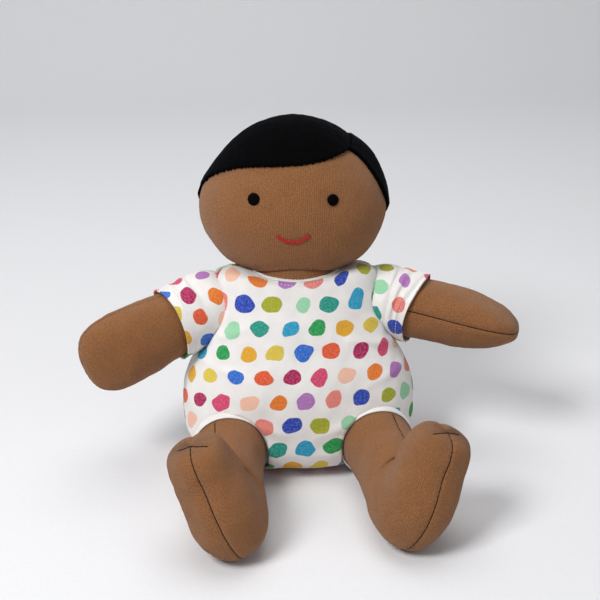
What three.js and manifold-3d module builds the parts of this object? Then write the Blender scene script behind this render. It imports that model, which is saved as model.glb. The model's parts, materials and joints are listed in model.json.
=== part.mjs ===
// A soft stuffed baby doll that sits on the floor, dressed in a white dotted bodysuit.
// The doll faces -Y, its left hand is on +X and +Z is up. The origin is the middle of the flat
// underside that it sits on. Each cloth panel is a thin wall, and the filling fills what it covers.
import * as THREE from "three";
import { mergeVertices } from "three/addons/utils/BufferGeometryUtils.js";
import Module from "manifold-3d";

const wasm = await Module();
wasm.setup();
const { degToRad } = THREE.MathUtils;

// Sizes are in millimetres and angles in degrees.
const cloth = { wall: 1.2, gap: 0.3, pile: 1.9 };
const joint = { gap: 0.4 };
const overrun = 60;
const sliver = 0.01;

const torso = {
  lean: 14,
  height: 122,
  sink: 4,
  seatBehind: 18,
  halfWidth: 76,
  halfDepth: 44,
  squareness: 2.4,
};
const head = {
  centreHeight: 172,
  halfWidth: 59.3,
  halfHeight: 50,
  halfDepth: 46,
  squareness: 2.15,
  turn: -6,
  nod: 2.5,
};
const hair = {
  apexAcross: 34.5,
  apexUp: 31.3,
  partingAcross: 40,
  partingUp: 42,
  leftEnd: 1.5,
  rightEnd: -7.5,
  nape: -31,
};
const eye = { spacing: 49.6, up: -0.4, radius: 4, crown: 1 };
const mouth = { halfWidth: 11.2, up: -24, sag: 4.6, threadRadius: 0.9 };
const neck = { pivotHeight: 123, ballRadius: 26.5, stemAngle: 26, stemDepth: 14 };
const neckline = { halfWidth: 32, halfDepth: 29, drop: 13, bandWidth: 4 };
const arm = {
  pivotAcross: torso.halfWidth - 17,
  pivotHeight: 102,
  length: 88,
  rootRadius: 22,
  halfWidth: 24,
  halfThickness: 20,
  squareness: 2.2,
};
const armRange = { back: -5, forward: 46, down: 18, up: 35 };
const leftArmPose = { forward: 20, down: 8, roll: 76 };
const rightArmPose = { forward: 25, down: 15, roll: 172 };
const sleeve = { reach: 19, mouthRadius: 24.5, tuckAngle: 125, leaveAngle: 80 };
const leg = {
  pivotAcross: torso.halfWidth - 29,
  pivotForward: 28,
  pivotHeight: 23.2,
  shinLength: 53,
  rootRadius: 23.2,
  halfHeight: 23.2,
  halfWidth: 21.5,
  heelDepth: 58,
  footThickness: 42,
  footRise: 29.5,
  creaseInset: 1.5,
  turnOut: 23,
  squareness: 2.15,
};
const legRange = { up: 35, down: 72, inwards: -9, outwards: 28 };
const leftLegPose = { splay: 7 };
const rightLegPose = { splay: 3 };
const gather = { radius: 7 };
const legBand = { width: 4 };
const placket = { width: 17, tapeWidth: 12, tapeWall: 1, bottom: 52, top: 106, hem: 4 };
const pouch = { halfWidth: 36, halfDepth: 23, halfHeight: 12, back: 9, height: 14 };

// Rows run along a form and columns run round it.
const torsoRows = 11;
const torsoColumns = 18;
const headRows = 11;
const headColumns = 18;
const armRows = 10;
const limbColumns = 12;
const cutterSegments = 16;
const neckSegments = 16;
const sleeveSegments = 18;
const knotSegments = 10;
const neckSteps = 6;
const eyeSegments = 12;
const mouthSteps = 8;
// Degrees up a limb's round root from its widest place at which its rings lie.
const rootAngles = [-68, -42, -16, 12];

// Along the torso from its seat to its neck: the share of its height, width and depth there.
const torsoShares = [
  [0, 0, 0],
  [0.012, 0.5, 0.52],
  [0.035, 0.76, 0.8],
  [0.1, 0.9, 0.93],
  [0.22, 0.975, 0.99],
  [0.37, 1, 1],
  [0.5, 0.965, 0.96],
  [0.61, 0.875, 0.88],
  [0.72, 0.8, 0.82],
  [0.81, 0.765, 0.76],
  [0.9, 0.745, 0.7],
  [0.955, 0.7, 0.66],
  [0.985, 0.58, 0.52],
  [1, 0, 0],
];
// Down the head from its crown to its chin, as shares of its half height, width and depth.
const headShares = [
  [1, 0, 0],
  [0.96, 0.22, 0.27],
  [0.86, 0.44, 0.52],
  [0.68, 0.64, 0.74],
  [0.42, 0.825, 0.91],
  [0.14, 0.96, 0.99],
  [-0.12, 1, 1],
  [-0.34, 0.975, 0.97],
  [-0.58, 0.88, 0.88],
  [-0.78, 0.735, 0.74],
  [-0.92, 0.53, 0.55],
  [-0.98, 0.29, 0.31],
  [-1, 0, 0],
];
// Along the arm past its round root, as shares of its length, half width and half thickness.
const armShares = [
  [0.22, 0.84, 0.98],
  [0.38, 0.89, 0.97],
  [0.54, 0.97, 0.94],
  [0.7, 1, 0.85],
  [0.84, 0.95, 0.66],
  [0.93, 0.8, 0.45],
  [0.98, 0.55, 0.25],
  [1, 0, 0],
];
// Along the shin past the round hip, as shares of its length, half height and half width.
const shinShares = [
  [0.42, 0.95, 0.93],
  [0.75, 0.96, 0.95],
  [1, 0.98, 0.98],
];
// Round the heel: degrees turned, then shares of the heel's depth and of the half width.
const heelShares = [
  [22, 0.87, 0.995],
  [44, 0.985, 1],
  [64, 0.93, 0.985],
  [84, 0.815, 0.95],
];
// Up the foot from the ankle's crease, as shares of its rise, thickness and half width.
const footShares = [
  [0.3, 0.97, 0.92],
  [0.66, 0.89, 0.85],
  [0.88, 0.72, 0.72],
  [0.98, 0.45, 0.46],
];
// From the middle of an eye's underside round its rim to its top, as shares of radius and crown.
const eyeShares = [
  [0, 0],
  [1, 0],
  [1, 0.5],
  [0.7, 0.9],
  [0, 1],
];
// The hairline from the left temple to the parting, as shares of the way across and up.
const hairlineShares = [
  [0, 0],
  [0.045, 0.29],
  [0.13, 0.5],
  [0.27, 0.62],
  [0.5, 0.655],
  [0.68, 0.67],
  [0.83, 0.75],
  [0.93, 0.87],
  [1, 1],
];
// The inner edge of the side strip, from the parting down, as shares of the way out and down.
const stripShares = [
  [0.32, 0.17],
  [0.62, 0.43],
  [0.85, 0.72],
  [0.99, 1],
];

const skinCloth = new THREE.MeshStandardMaterial({ color: 0x7a5337, roughness: 0.95, metalness: 0 });
const filling = new THREE.MeshStandardMaterial({ color: 0xe9e6df, roughness: 1, metalness: 0 });
const hairCloth = new THREE.MeshStandardMaterial({ color: 0x0b0b0e, roughness: 0.9, metalness: 0 });
const eyeThread = new THREE.MeshStandardMaterial({ color: 0x0c0c0e, roughness: 0.6, metalness: 0 });
const mouthThread = new THREE.MeshStandardMaterial({ color: 0xa3171b, roughness: 0.6, metalness: 0 });
const dotCloth = new THREE.MeshStandardMaterial({ color: 0xeeebe6, roughness: 0.9, metalness: 0 });
const tapeCloth = new THREE.MeshStandardMaterial({ color: 0xe4e1dc, roughness: 0.8, metalness: 0 });
const beadCloth = new THREE.MeshStandardMaterial({ color: 0xcfc8ba, roughness: 0.8, metalness: 0 });

// A list of shares made smooth and sampled at a number of rows.
function smoothShares(shares, rows) {
  const points = shares.map(([a, b, c]) => new THREE.Vector3(a, b, c));
  return new THREE.CatmullRomCurve3(points, false, "centripetal").getPoints(rows);
}

// A point of a closed oval: its corners fill out as squareness grows past two.
function ovalPoint(across, along, squareness, angle) {
  const power = 2 / squareness;
  const c = Math.cos(angle);
  const s = Math.sin(angle);
  return [
    across * Math.sign(c) * Math.abs(c) ** power,
    along * Math.sign(s) * Math.abs(s) ** power,
  ];
}

// A closed surface over rings of points, with a pole at each end of the list.
function ringsGeometry(first, rings, last) {
  const columns = rings[0].length;
  const points = [first, ...rings.flat(), last];
  const end = points.length - 1;
  const faces = [];
  for (let j = 0; j < columns; j += 1) {
    const next = (j + 1) % columns;
    faces.push(0, 1 + next, 1 + j);
    for (let i = 0; i + 1 < rings.length; i += 1) {
      const a = 1 + i * columns + j;
      const b = 1 + i * columns + next;
      faces.push(a, b, b + columns, a, b + columns, a + columns);
    }
    const rim = 1 + (rings.length - 1) * columns;
    faces.push(rim + j, rim + next, end);
  }
  return new THREE.BufferGeometry().setFromPoints(points).setIndex(faces);
}

// The same surface moved inwards by a depth along its own normals, then settled point by point.
function layerGeometry(form, depth, settle) {
  const geometry = ringsGeometry(form.first, form.rings, form.last);
  geometry.computeVertexNormals();
  const place = geometry.attributes.position;
  const normal = geometry.attributes.normal;
  const point = new THREE.Vector3();
  const out = new THREE.Vector3();
  for (let i = 0; i < place.count; i += 1) {
    point.fromBufferAttribute(place, i);
    out.fromBufferAttribute(normal, i);
    point.addScaledVector(out, -depth);
    if (settle) settle(point, depth);
    place.setXYZ(i, point.x, point.y, point.z);
  }
  geometry.deleteAttribute("normal");
  return geometry;
}

// A three.js geometry as a solid that can be joined and cut, placed by a matrix.
function solid(geometry, matrix) {
  const bare = geometry.index ? geometry.toNonIndexed() : geometry.clone();
  for (const name of Object.keys(bare.attributes)) {
    if (name !== "position") bare.deleteAttribute(name);
  }
  if (matrix) bare.applyMatrix4(matrix);
  const merged = mergeVertices(bare, sliver);
  const mesh = new wasm.Mesh({
    numProp: 3,
    vertProperties: merged.attributes.position.array,
    triVerts: new Uint32Array(merged.index.array),
  });
  return new wasm.Manifold(mesh);
}

// A solid back as a three.js geometry.
function geometryOf(made) {
  const mesh = made.getMesh();
  return new THREE.BufferGeometry()
    .setAttribute("position", new THREE.BufferAttribute(mesh.vertProperties, mesh.numProp))
    .setIndex(new THREE.BufferAttribute(mesh.triVerts, 1));
}

function namedMesh(name, geometry, material) {
  const mesh = new THREE.Mesh(geometry, material);
  mesh.name = name;
  return mesh;
}

// A ball or an egg to cut with, standing at a point.
function eggSolid(x, y, z, centre, segments = cutterSegments) {
  const geometry = new THREE.SphereGeometry(1, segments, segments / 2);
  const matrix = new THREE.Matrix4().makeScale(x, y, z).setPosition(centre);
  return solid(geometry, matrix);
}

function ballSolid(radius, centre, segments = cutterSegments) {
  return eggSolid(radius, radius, radius, centre, segments);
}

// A ball whose flat facets stay outside its radius, so that it leaves room for a true ball.
function roomBall(radius, centre, segments = cutterSegments) {
  const share = 1 / Math.cos(Math.PI / segments) ** 2;
  return ballSolid(radius * share, centre, segments);
}

// A box between two corners.
function boxSolid(low, high) {
  const size = new THREE.Vector3().subVectors(high, low);
  const centre = new THREE.Vector3().addVectors(high, low).divideScalar(2);
  const matrix = new THREE.Matrix4().setPosition(centre);
  return solid(new THREE.BoxGeometry(size.x, size.y, size.z), matrix);
}

// An outline in the X-Z plane made solid from one Y to another.
function prismSolid(outline, fromY, toY) {
  const shape = new THREE.Shape(outline.map(([x, z]) => new THREE.Vector2(x, z)));
  const depth = toY - fromY;
  const geometry = new THREE.ExtrudeGeometry(shape, { depth, bevelEnabled: false });
  geometry.rotateX(Math.PI / 2);
  geometry.translate(0, toY, 0);
  return solid(geometry);
}

// Turning the torso back by its lean puts its own points in the frame of the floor.
const leanBack = new THREE.Matrix4().makeRotationX(-degToRad(torso.lean));
const standUp = leanBack.clone().invert();

// Where the form would sink into the floor it spreads flat, each layer its own depth above it.
function pressTorso(point, depth) {
  point.applyMatrix4(leanBack);
  point.z = Math.max(point.z, depth);
  point.applyMatrix4(standUp);
}

function torsoForm() {
  const stations = smoothShares(torsoShares, torsoRows);
  const rings = stations.slice(1, -1).map((station) => {
    const up = station.x * (torso.height + torso.sink) - torso.sink;
    const across = station.y * torso.halfWidth;
    const along = station.z * torso.halfDepth;
    return Array.from({ length: torsoColumns }, (_, j) => {
      const angle = (j / torsoColumns) * 2 * Math.PI;
      const [x, y] = ovalPoint(across, along, torso.squareness, angle);
      return new THREE.Vector3(x, y, up);
    });
  });
  return {
    first: new THREE.Vector3(0, 0, -torso.sink),
    rings,
    last: new THREE.Vector3(0, 0, torso.height),
  };
}

function headForm() {
  const stations = smoothShares(headShares, headRows).reverse();
  const rings = stations.slice(1, -1).map((station) => {
    const across = station.y * head.halfWidth;
    const along = station.z * head.halfDepth;
    return Array.from({ length: headColumns }, (_, j) => {
      const angle = (j / headColumns) * 2 * Math.PI;
      const [x, y] = ovalPoint(across, along, head.squareness, angle);
      return new THREE.Vector3(x, y, station.x * head.halfHeight);
    });
  });
  return {
    first: new THREE.Vector3(0, 0, -head.halfHeight),
    rings,
    last: new THREE.Vector3(0, 0, head.halfHeight),
  };
}

// The rings of a round root that fills its socket, from its pole to the widest place and past it.
function rootStations(radius) {
  return rootAngles.map((degrees) => {
    const angle = degToRad(degrees);
    return { along: radius * Math.sin(angle), half: radius * Math.cos(angle) };
  });
}

function armForm() {
  const root = rootStations(arm.rootRadius).map(({ along, half }) => [along, half, half, 2]);
  const rest = smoothShares(armShares, armRows - root.length)
    .slice(0, -1)
    .map((s) => [s.x * arm.length, s.y * arm.halfWidth, s.z * arm.halfThickness, arm.squareness]);
  const rings = [...root, ...rest].map(([along, wide, thick, squareness]) =>
    Array.from({ length: limbColumns }, (_, j) => {
      const angle = (j / limbColumns) * 2 * Math.PI;
      const [x, y] = ovalPoint(wide, thick, squareness, angle);
      return new THREE.Vector3(x, y, along);
    }),
  );
  return {
    first: new THREE.Vector3(0, 0, -arm.rootRadius),
    rings,
    last: new THREE.Vector3(0, 0, arm.length),
  };
}

// The leg runs along Z to the heel, where its rings fan round the ankle's crease up into the foot.
function legForm() {
  const crease = new THREE.Vector3(0, leg.halfHeight - leg.creaseInset, leg.shinLength);
  const ring = (centre, up, high, wide, squareness = leg.squareness) =>
    Array.from({ length: limbColumns }, (_, j) => {
      const angle = ((j + 0.5) / limbColumns) * 2 * Math.PI;
      const [x, y] = ovalPoint(wide, high, squareness, angle);
      return centre.clone().addScaledVector(up, y).add(new THREE.Vector3(x, 0, 0));
    });
  const upright = new THREE.Vector3(0, 1, 0);
  const root = rootStations(leg.rootRadius).map(({ along, half }) =>
    ring(new THREE.Vector3(0, 0, along), upright, half, half, 2),
  );
  const shin = shinShares.map(([along, high, wide]) =>
    ring(
      new THREE.Vector3(0, 0, along * leg.shinLength),
      upright,
      high * leg.halfHeight,
      wide * leg.halfWidth,
    ),
  );
  const heel = heelShares.map(([degrees, deep, wide]) => {
    const angle = degToRad(degrees);
    const inwards = new THREE.Vector3(0, Math.cos(angle), -Math.sin(angle));
    const high = (deep * leg.heelDepth - leg.creaseInset) / 2;
    const centre = crease.clone().addScaledVector(inwards, -high - leg.creaseInset);
    return ring(centre, inwards, high, wide * leg.halfWidth);
  });
  const foot = footShares.map(([rise, thick, wide]) => {
    const high = (thick * leg.footThickness) / 2;
    const out = leg.footThickness / 2;
    const centre = crease.clone().add(new THREE.Vector3(0, rise * leg.footRise, out));
    return ring(centre, new THREE.Vector3(0, 0, -1), high, wide * leg.halfWidth);
  });
  return {
    first: new THREE.Vector3(0, 0, -leg.rootRadius),
    rings: [...root, ...shin, ...heel, ...foot],
    last: crease.clone().add(new THREE.Vector3(0, leg.footRise, leg.footThickness / 2)),
  };
}

// The wall between two depths of a form, before it is split or opened.
function wallSolid(form, outer, inner, settle) {
  return solid(layerGeometry(form, outer, settle)).subtract(
    solid(layerGeometry(form, inner, settle)),
  );
}

// The depths at which the layers under the outermost cloth lie.
const skinTop = cloth.wall + cloth.gap;
const skinUnder = skinTop + cloth.wall;
const fillingTop = skinUnder + cloth.gap;
const bareFillingTop = cloth.wall + cloth.gap;

// The hips and shoulders, in the leaning torso's own frame.
const shoulder = (side) => new THREE.Vector3(side * arm.pivotAcross, 0, arm.pivotHeight);
const hip = (side) =>
  new THREE.Vector3(side * leg.pivotAcross, -leg.pivotForward, leg.pivotHeight).applyMatrix4(
    standUp,
  );
const neckPivot = new THREE.Vector3(0, 0, neck.pivotHeight);
const sides = [-1, 1];
const sweptReach = 2 * torso.halfWidth;

// The way an arm points in the frame of the floor, with its hand forwards and down by two angles.
function armDirection(side, forward, down) {
  const turn = new THREE.Euler(0, side * degToRad(down), -side * degToRad(forward), "ZYX");
  return new THREE.Vector3(side, 0, 0).applyEuler(turn);
}

// The way a leg points: it swings about X first, and then splays about its own upright axis.
function legDirection(side, up, splay) {
  const turn = new THREE.Euler(-degToRad(up), 0, side * degToRad(splay), "XZY");
  return new THREE.Vector3(0, -1, 0).applyEuler(turn);
}

// All that a limb of a radius sweeps as it points between the corners of its range.
function sweptRoom(centre, radius, directions) {
  const far = directions.map((direction) =>
    direction.transformDirection(standUp).multiplyScalar(sweptReach).add(centre),
  );
  return wasm.Manifold.hull([centre, ...far].map((place) => roomBall(radius, place)));
}

function armRoom(side, clearance) {
  const { back, forward, down, up } = armRange;
  const corners = [back, forward].flatMap((ahead) =>
    [down, -up].map((drop) => armDirection(side, ahead, drop)),
  );
  return sweptRoom(shoulder(side), arm.rootRadius + clearance, corners);
}

function legRoom(side, clearance) {
  const { up, down, inwards, outwards } = legRange;
  const corners = [up, (up - down) / 2, -down].flatMap((rise) =>
    [inwards, outwards].map((splay) => legDirection(side, rise, splay)),
  );
  return sweptRoom(hip(side), leg.rootRadius + clearance, corners);
}

// What the arms and legs leave free in the torso, as one solid for a given clearance.
function limbRooms(armClearance, legClearance) {
  return sides
    .flatMap((side) => [armRoom(side, armClearance), legRoom(side, legClearance)])
    .reduce((all, one) => all.add(one));
}

// What the neck's ball and stem leave free in the torso, with facets that clear them at any turn.
function neckSocket() {
  const share = 1 / Math.cos(Math.PI / neckSegments) ** 2;
  const stem = (neckStemRadius() + joint.gap) * share;
  const bottom = -neck.stemDepth - cloth.gap;
  return neckSolid((neck.ballRadius + joint.gap) * share, stem, bottom, neckPivot);
}

// A ball on a stem, turned round the neck's own axis, at a place in the torso or the head.
function neckSolid(radius, stem, bottom, centre) {
  const fromAngle = Math.acos(Math.min(stem / radius, 1));
  const arc = Array.from({ length: neckSteps + 1 }, (_, i) => {
    const angle = -fromAngle + ((Math.PI / 2 + fromAngle) * i) / neckSteps;
    const x = i === neckSteps ? 0 : radius * Math.cos(angle);
    return new THREE.Vector2(x, radius * Math.sin(angle));
  });
  const points = [new THREE.Vector2(0, bottom), new THREE.Vector2(stem, bottom), ...arc];
  const geometry = new THREE.LatheGeometry(points, neckSegments);
  geometry.rotateX(Math.PI / 2);
  return solid(geometry, new THREE.Matrix4().setPosition(centre));
}

function neckStemRadius() {
  return neck.ballRadius * Math.cos(degToRad(neck.stemAngle));
}

// The hole that the neckline leaves, widened by a margin.
function necklineHole(margin) {
  const centre = new THREE.Vector3(0, 0, torso.height);
  return eggSolid(
    neckline.halfWidth + margin,
    neckline.halfDepth + margin,
    neckline.drop + margin,
    centre,
  );
}

// The slit down the back from the neck, which lets the head of the doll through.
function backSlit() {
  const edge = cloth.gap / 2;
  const low = new THREE.Vector3(-edge, 0, placket.bottom + placket.hem);
  return boxSolid(low, new THREE.Vector3(edge, overrun * 2, torso.height + overrun));
}

// One side of a seam that lies on a plane through the axis of a form.
function halfSpace(axis, side) {
  const reach = torso.height + torso.halfWidth + overrun;
  const low = new THREE.Vector3(-reach, -reach, -reach);
  const high = new THREE.Vector3(reach, reach, reach);
  const edge = cloth.gap / 2;
  if (side > 0) low[axis] = edge;
  else high[axis] = -edge;
  return boxSolid(low, high);
}

// The sleeve's wall stands off the arm's round root by a little more than the cloth's gap.
const sleeveInner = arm.rootRadius + joint.gap / 2 + cloth.gap;
const armholeClearance = sleeveInner - arm.rootRadius + cloth.wall + joint.gap;

function torsoPieces() {
  const form = torsoForm();
  const sockets = limbRooms(armholeClearance, joint.gap);
  const neckRoom = neckSocket();
  const seatPouch = pouchSolid(0);
  const group = new THREE.Group();

  const stuffing = solid(layerGeometry(form, fillingTop, pressTorso))
    .subtract(sockets)
    .subtract(neckRoom)
    .subtract(pouchSolid(cloth.gap));
  group.add(namedMesh("torso_stuffing", geometryOf(stuffing), filling));
  group.add(namedMesh("seat_bead_pouch", geometryOf(seatPouch), beadCloth));

  const skin = wallSolid(form, skinTop, skinUnder, pressTorso)
    .subtract(sockets)
    .subtract(neckRoom);
  const skinFront = skin.intersect(halfSpace("y", -1));
  const skinBack = skin.intersect(halfSpace("y", 1));
  group.add(namedMesh("torso_skin_front", geometryOf(skinFront), skinCloth));
  group.add(namedMesh("torso_skin_back", geometryOf(skinBack), skinCloth));

  const legHoles = limbRooms(armholeClearance, joint.gap + legBand.width + cloth.gap);
  const suit = wallSolid(form, 0, cloth.wall, pressTorso)
    .subtract(legHoles)
    .subtract(necklineHole(neckline.bandWidth + cloth.gap));
  const back = suit.intersect(halfSpace("y", 1)).subtract(backSlit());
  const front = suit.intersect(halfSpace("y", -1));
  group.add(namedMesh("bodysuit_front", geometryOf(front), dotCloth));
  group.add(namedMesh("bodysuit_back", geometryOf(back), dotCloth));
  group.add(...bandPieces(form), ...closurePieces(form));
  return group;
}

// The bead pouch lies in a hollow of the filling that is open towards the seat.
function pouchSolid(margin) {
  const centre = new THREE.Vector3(0, pouch.back, pouch.height);
  const egg = eggSolid(
    pouch.halfWidth + margin,
    pouch.halfDepth + margin,
    pouch.halfHeight + margin,
    centre,
  );
  const floor = margin > 0 ? -overrun : fillingTop;
  const low = new THREE.Vector3(-overrun, -overrun, floor);
  const high = new THREE.Vector3(overrun, overrun, overrun);
  const flat = egg.intersect(boxSolid(low, high));
  return solid(geometryOf(flat), standUp);
}

// The sewn bands round the neck and the legs, cut from the bodysuit's own wall.
function bandPieces(form) {
  const wall = wallSolid(form, 0, cloth.wall, pressTorso);
  const neckBand = wall
    .intersect(necklineHole(neckline.bandWidth))
    .subtract(necklineHole(0))
    .subtract(limbRooms(armholeClearance, joint.gap));
  const bands = [namedMesh("neck_binding", geometryOf(neckBand), dotCloth)];
  for (const side of sides) {
    const outer = legRoom(side, joint.gap + legBand.width);
    const band = wall.intersect(outer).subtract(legRoom(side, joint.gap));
    const name = side > 0 ? "left_leg_binding" : "right_leg_binding";
    bands.push(namedMesh(name, geometryOf(band), dotCloth));
  }
  return bands;
}

// The back closes over its slit: a loop tape, a hook tape and the placket that covers them.
function closurePieces(form) {
  const layers = [
    ["loop_tape", placket.tapeWidth, placket.tapeWall, tapeCloth],
    ["hook_tape", placket.tapeWidth, placket.tapeWall, tapeCloth],
    ["back_placket", placket.width, cloth.wall, dotCloth],
  ];
  let stand = cloth.gap;
  return layers.map(([name, width, wall, material]) => {
    const low = new THREE.Vector3(-width / 2, 0, placket.bottom);
    const high = new THREE.Vector3(width / 2, overrun * 2, placket.top);
    const strip = wallSolid(form, -stand - wall, -stand).intersect(boxSolid(low, high));
    stand += wall + cloth.gap;
    return namedMesh(name, geometryOf(strip), material);
  });
}

// A ball on a short stem: the ball seats the head and the stem stands in the torso.
function neckPieces() {
  const pivot = new THREE.Group();
  pivot.name = "neck_turn";
  pivot.position.copy(neckPivot);
  pivot.rotation.z = degToRad(head.turn);
  const stem = neckStemRadius();
  const layer = (inset, drop) =>
    neckSolid(neck.ballRadius - inset, stem - inset, drop - neck.stemDepth, new THREE.Vector3());
  const skin = layer(0, 0).subtract(layer(cloth.wall, -cloth.wall));
  const core = layer(cloth.wall + cloth.gap, 0);
  pivot.add(namedMesh("neck_skin", geometryOf(skin), skinCloth));
  pivot.add(namedMesh("neck_stuffing", geometryOf(core), filling));
  return pivot;
}

// The outline of the hair seen from the front, from the left temple over the parting and round.
function hairOutline() {
  const reach = head.halfWidth + overrun;
  const left = -head.halfWidth;
  const across = hair.apexAcross - left;
  const line = hairlineShares.map(([a, b]) => [
    left + a * across,
    hair.leftEnd + b * (hair.apexUp - hair.leftEnd),
  ]);
  return [
    [-reach, hair.leftEnd],
    ...line,
    ...stripLine(),
    [reach, hair.rightEnd],
    [reach, reach],
    [-reach, reach],
  ];
}

function stripLine() {
  const out = head.halfWidth - hair.apexAcross;
  const down = hair.rightEnd - hair.apexUp;
  return stripShares.map(([a, b]) => [hair.apexAcross + a * out, hair.apexUp + b * down]);
}

// The strip of hair beyond the parting, which belongs to the back panel, widened by a margin.
function stripOutline(margin) {
  const reach = head.halfWidth + overrun;
  return [
    [hair.apexAcross - margin, hair.apexUp - margin],
    ...stripLine().map(([x, z]) => [x - margin, z - margin]),
    [reach, hair.rightEnd - margin],
    [reach, reach],
    [hair.partingAcross - margin, reach],
    [hair.partingAcross - margin, hair.partingUp],
  ];
}

// The outline of the hair seen from behind, down to the nape.
function rearOutline() {
  const side = head.halfWidth + overrun;
  const bend = head.halfWidth * Math.cos(Math.PI / 5);
  return [
    [-side, hair.leftEnd],
    [-bend, (hair.nape + hair.leftEnd) / 2],
    [0, hair.nape],
    [bend, (hair.nape + hair.rightEnd) / 2],
    [side, hair.rightEnd],
    [side, side],
    [-side, side],
  ];
}

function hairPieces(form) {
  const reach = head.halfDepth + overrun;
  const pile = wallSolid(form, -cloth.gap - cloth.pile, -cloth.gap);
  const front = prismSolid(hairOutline(), -reach, -cloth.gap / 2);
  const rear = prismSolid(rearOutline(), cloth.gap / 2, reach);
  const strip = prismSolid(stripOutline(0), -reach, cloth.gap);
  const stripRoom = prismSolid(stripOutline(cloth.gap), -reach, cloth.gap);
  const fringe = pile.intersect(front).subtract(stripRoom);
  const back = pile.intersect(rear.add(strip));
  return [
    namedMesh("hair_fringe", geometryOf(fringe), hairCloth),
    namedMesh("hair_back", geometryOf(back), hairCloth),
  ];
}

// The place on the face straight behind a point of the front view, and the way out of it there.
function facePlace(faceMesh, x, z) {
  const from = new THREE.Vector3(x, -head.halfDepth - overrun, z);
  const ray = new THREE.Raycaster(from, new THREE.Vector3(0, 1, 0));
  const [hit] = ray.intersectObject(faceMesh);
  return { point: hit.point.clone(), out: hit.face.normal.clone() };
}

function eyePiece(name, faceMesh, side) {
  const { point, out } = facePlace(faceMesh, (side * eye.spacing) / 2, eye.up);
  const points = eyeShares.map(([a, b]) => new THREE.Vector2(a * eye.radius, b * eye.crown));
  const mesh = namedMesh(name, new THREE.LatheGeometry(points, eyeSegments), eyeThread);
  mesh.quaternion.setFromUnitVectors(new THREE.Vector3(0, 1, 0), out);
  mesh.position.copy(point).addScaledVector(out, cloth.gap);
  return mesh;
}

function mouthPiece(faceMesh) {
  const stand = cloth.gap + mouth.threadRadius;
  const points = Array.from({ length: mouthSteps + 1 }, (_, i) => {
    const across = (2 * i) / mouthSteps - 1;
    const z = mouth.up - mouth.sag * (1 - across * across);
    const { point, out } = facePlace(faceMesh, across * mouth.halfWidth, z);
    return point.addScaledVector(out, stand);
  });
  const section = new THREE.Shape().absarc(0, 0, mouth.threadRadius, 0, 2 * Math.PI);
  const geometry = new THREE.ExtrudeGeometry(section, {
    steps: mouthSteps,
    curveSegments: 3,
    bevelEnabled: false,
    extrudePath: new THREE.CatmullRomCurve3(points),
  });
  return namedMesh("mouth_stitching", geometry, mouthThread);
}

function headPieces() {
  const form = headForm();
  const pivot = new THREE.Group();
  pivot.name = "head_nod";
  pivot.position.copy(neckPivot);
  pivot.rotation.set(-degToRad(head.nod), 0, degToRad(head.turn), "ZYX");
  const centre = new THREE.Group();
  const drop = head.centreHeight - neck.pivotHeight;
  centre.position.z = drop;
  pivot.add(centre);
  const socket = roomBall(neck.ballRadius + joint.gap, new THREE.Vector3(0, 0, -drop));
  const stuffing = solid(layerGeometry(form, bareFillingTop)).subtract(socket);
  const skin = wallSolid(form, 0, cloth.wall).subtract(socket);
  const face = geometryOf(skin.intersect(halfSpace("y", -1)));
  const back = geometryOf(skin.intersect(halfSpace("y", 1)));
  const faceMesh = namedMesh("face_panel", face, skinCloth);
  centre.add(namedMesh("head_stuffing", geometryOf(stuffing), filling));
  centre.add(faceMesh, namedMesh("head_back_panel", back, skinCloth));
  centre.add(...hairPieces(form));
  centre.add(eyePiece("right_eye", faceMesh, -1), eyePiece("left_eye", faceMesh, 1));
  centre.add(mouthPiece(faceMesh));
  return pivot;
}

// The sleeve turns round the arm's axis: it starts tucked round the arm's root and opens outwards.
function sleeveGeometry() {
  const tuck = degToRad(sleeve.tuckAngle);
  const outer = sleeveInner + cloth.wall;
  const steps = 4;
  const leave = degToRad(sleeve.leaveAngle);
  const arc = (radius) =>
    Array.from({ length: steps + 1 }, (_, i) => {
      const angle = tuck + ((leave - tuck) * i) / steps;
      return new THREE.Vector2(radius * Math.sin(angle), radius * Math.cos(angle));
    });
  const mouthInner = sleeve.mouthRadius - cloth.wall;
  const points = [
    ...arc(sleeveInner),
    new THREE.Vector2(mouthInner, sleeve.reach),
    new THREE.Vector2(sleeve.mouthRadius, sleeve.reach),
    ...arc(outer).reverse(),
  ];
  points.push(points[0].clone());
  const geometry = new THREE.LatheGeometry(points.reverse(), sleeveSegments);
  geometry.rotateX(Math.PI / 2);
  return geometry;
}

// An arm group's Z runs along the arm, and its seams lie on its X, turned by the arm's roll.
function armPieces(side, pose) {
  const name = side > 0 ? "left" : "right";
  const pivot = new THREE.Group();
  pivot.name = `${name}_shoulder`;
  pivot.position.copy(shoulder(side)).applyMatrix4(leanBack);
  const turn = new THREE.Matrix4().makeRotationZ(-side * degToRad(pose.forward));
  const dip = new THREE.Matrix4().makeRotationY(side * degToRad(pose.down));
  const aim = new THREE.Matrix4().makeRotationY((side * Math.PI) / 2);
  const roll = new THREE.Matrix4().makeRotationZ(side * degToRad(pose.roll));
  const all = turn.multiply(dip).multiply(aim).multiply(roll);
  pivot.quaternion.setFromRotationMatrix(all);

  const form = armForm();
  const skin = wallSolid(form, 0, cloth.wall);
  const hollow = gatherRoom();
  const stuffing = solid(layerGeometry(form, bareFillingTop)).subtract(hollow);
  const top = skin.subtract(hollow).intersect(halfSpace("y", 1));
  const under = skin.subtract(hollow).intersect(halfSpace("y", -1));
  pivot.add(gatherPiece(`${name}_arm_gathered_root`));
  pivot.add(namedMesh(`${name}_arm_stuffing`, geometryOf(stuffing), filling));
  pivot.add(namedMesh(`${name}_arm_upper_panel`, geometryOf(top), skinCloth));
  pivot.add(namedMesh(`${name}_arm_under_panel`, geometryOf(under), skinCloth));
  pivot.add(namedMesh(`${name}_sleeve`, sleeveGeometry(), dotCloth));
  return pivot;
}

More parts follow.
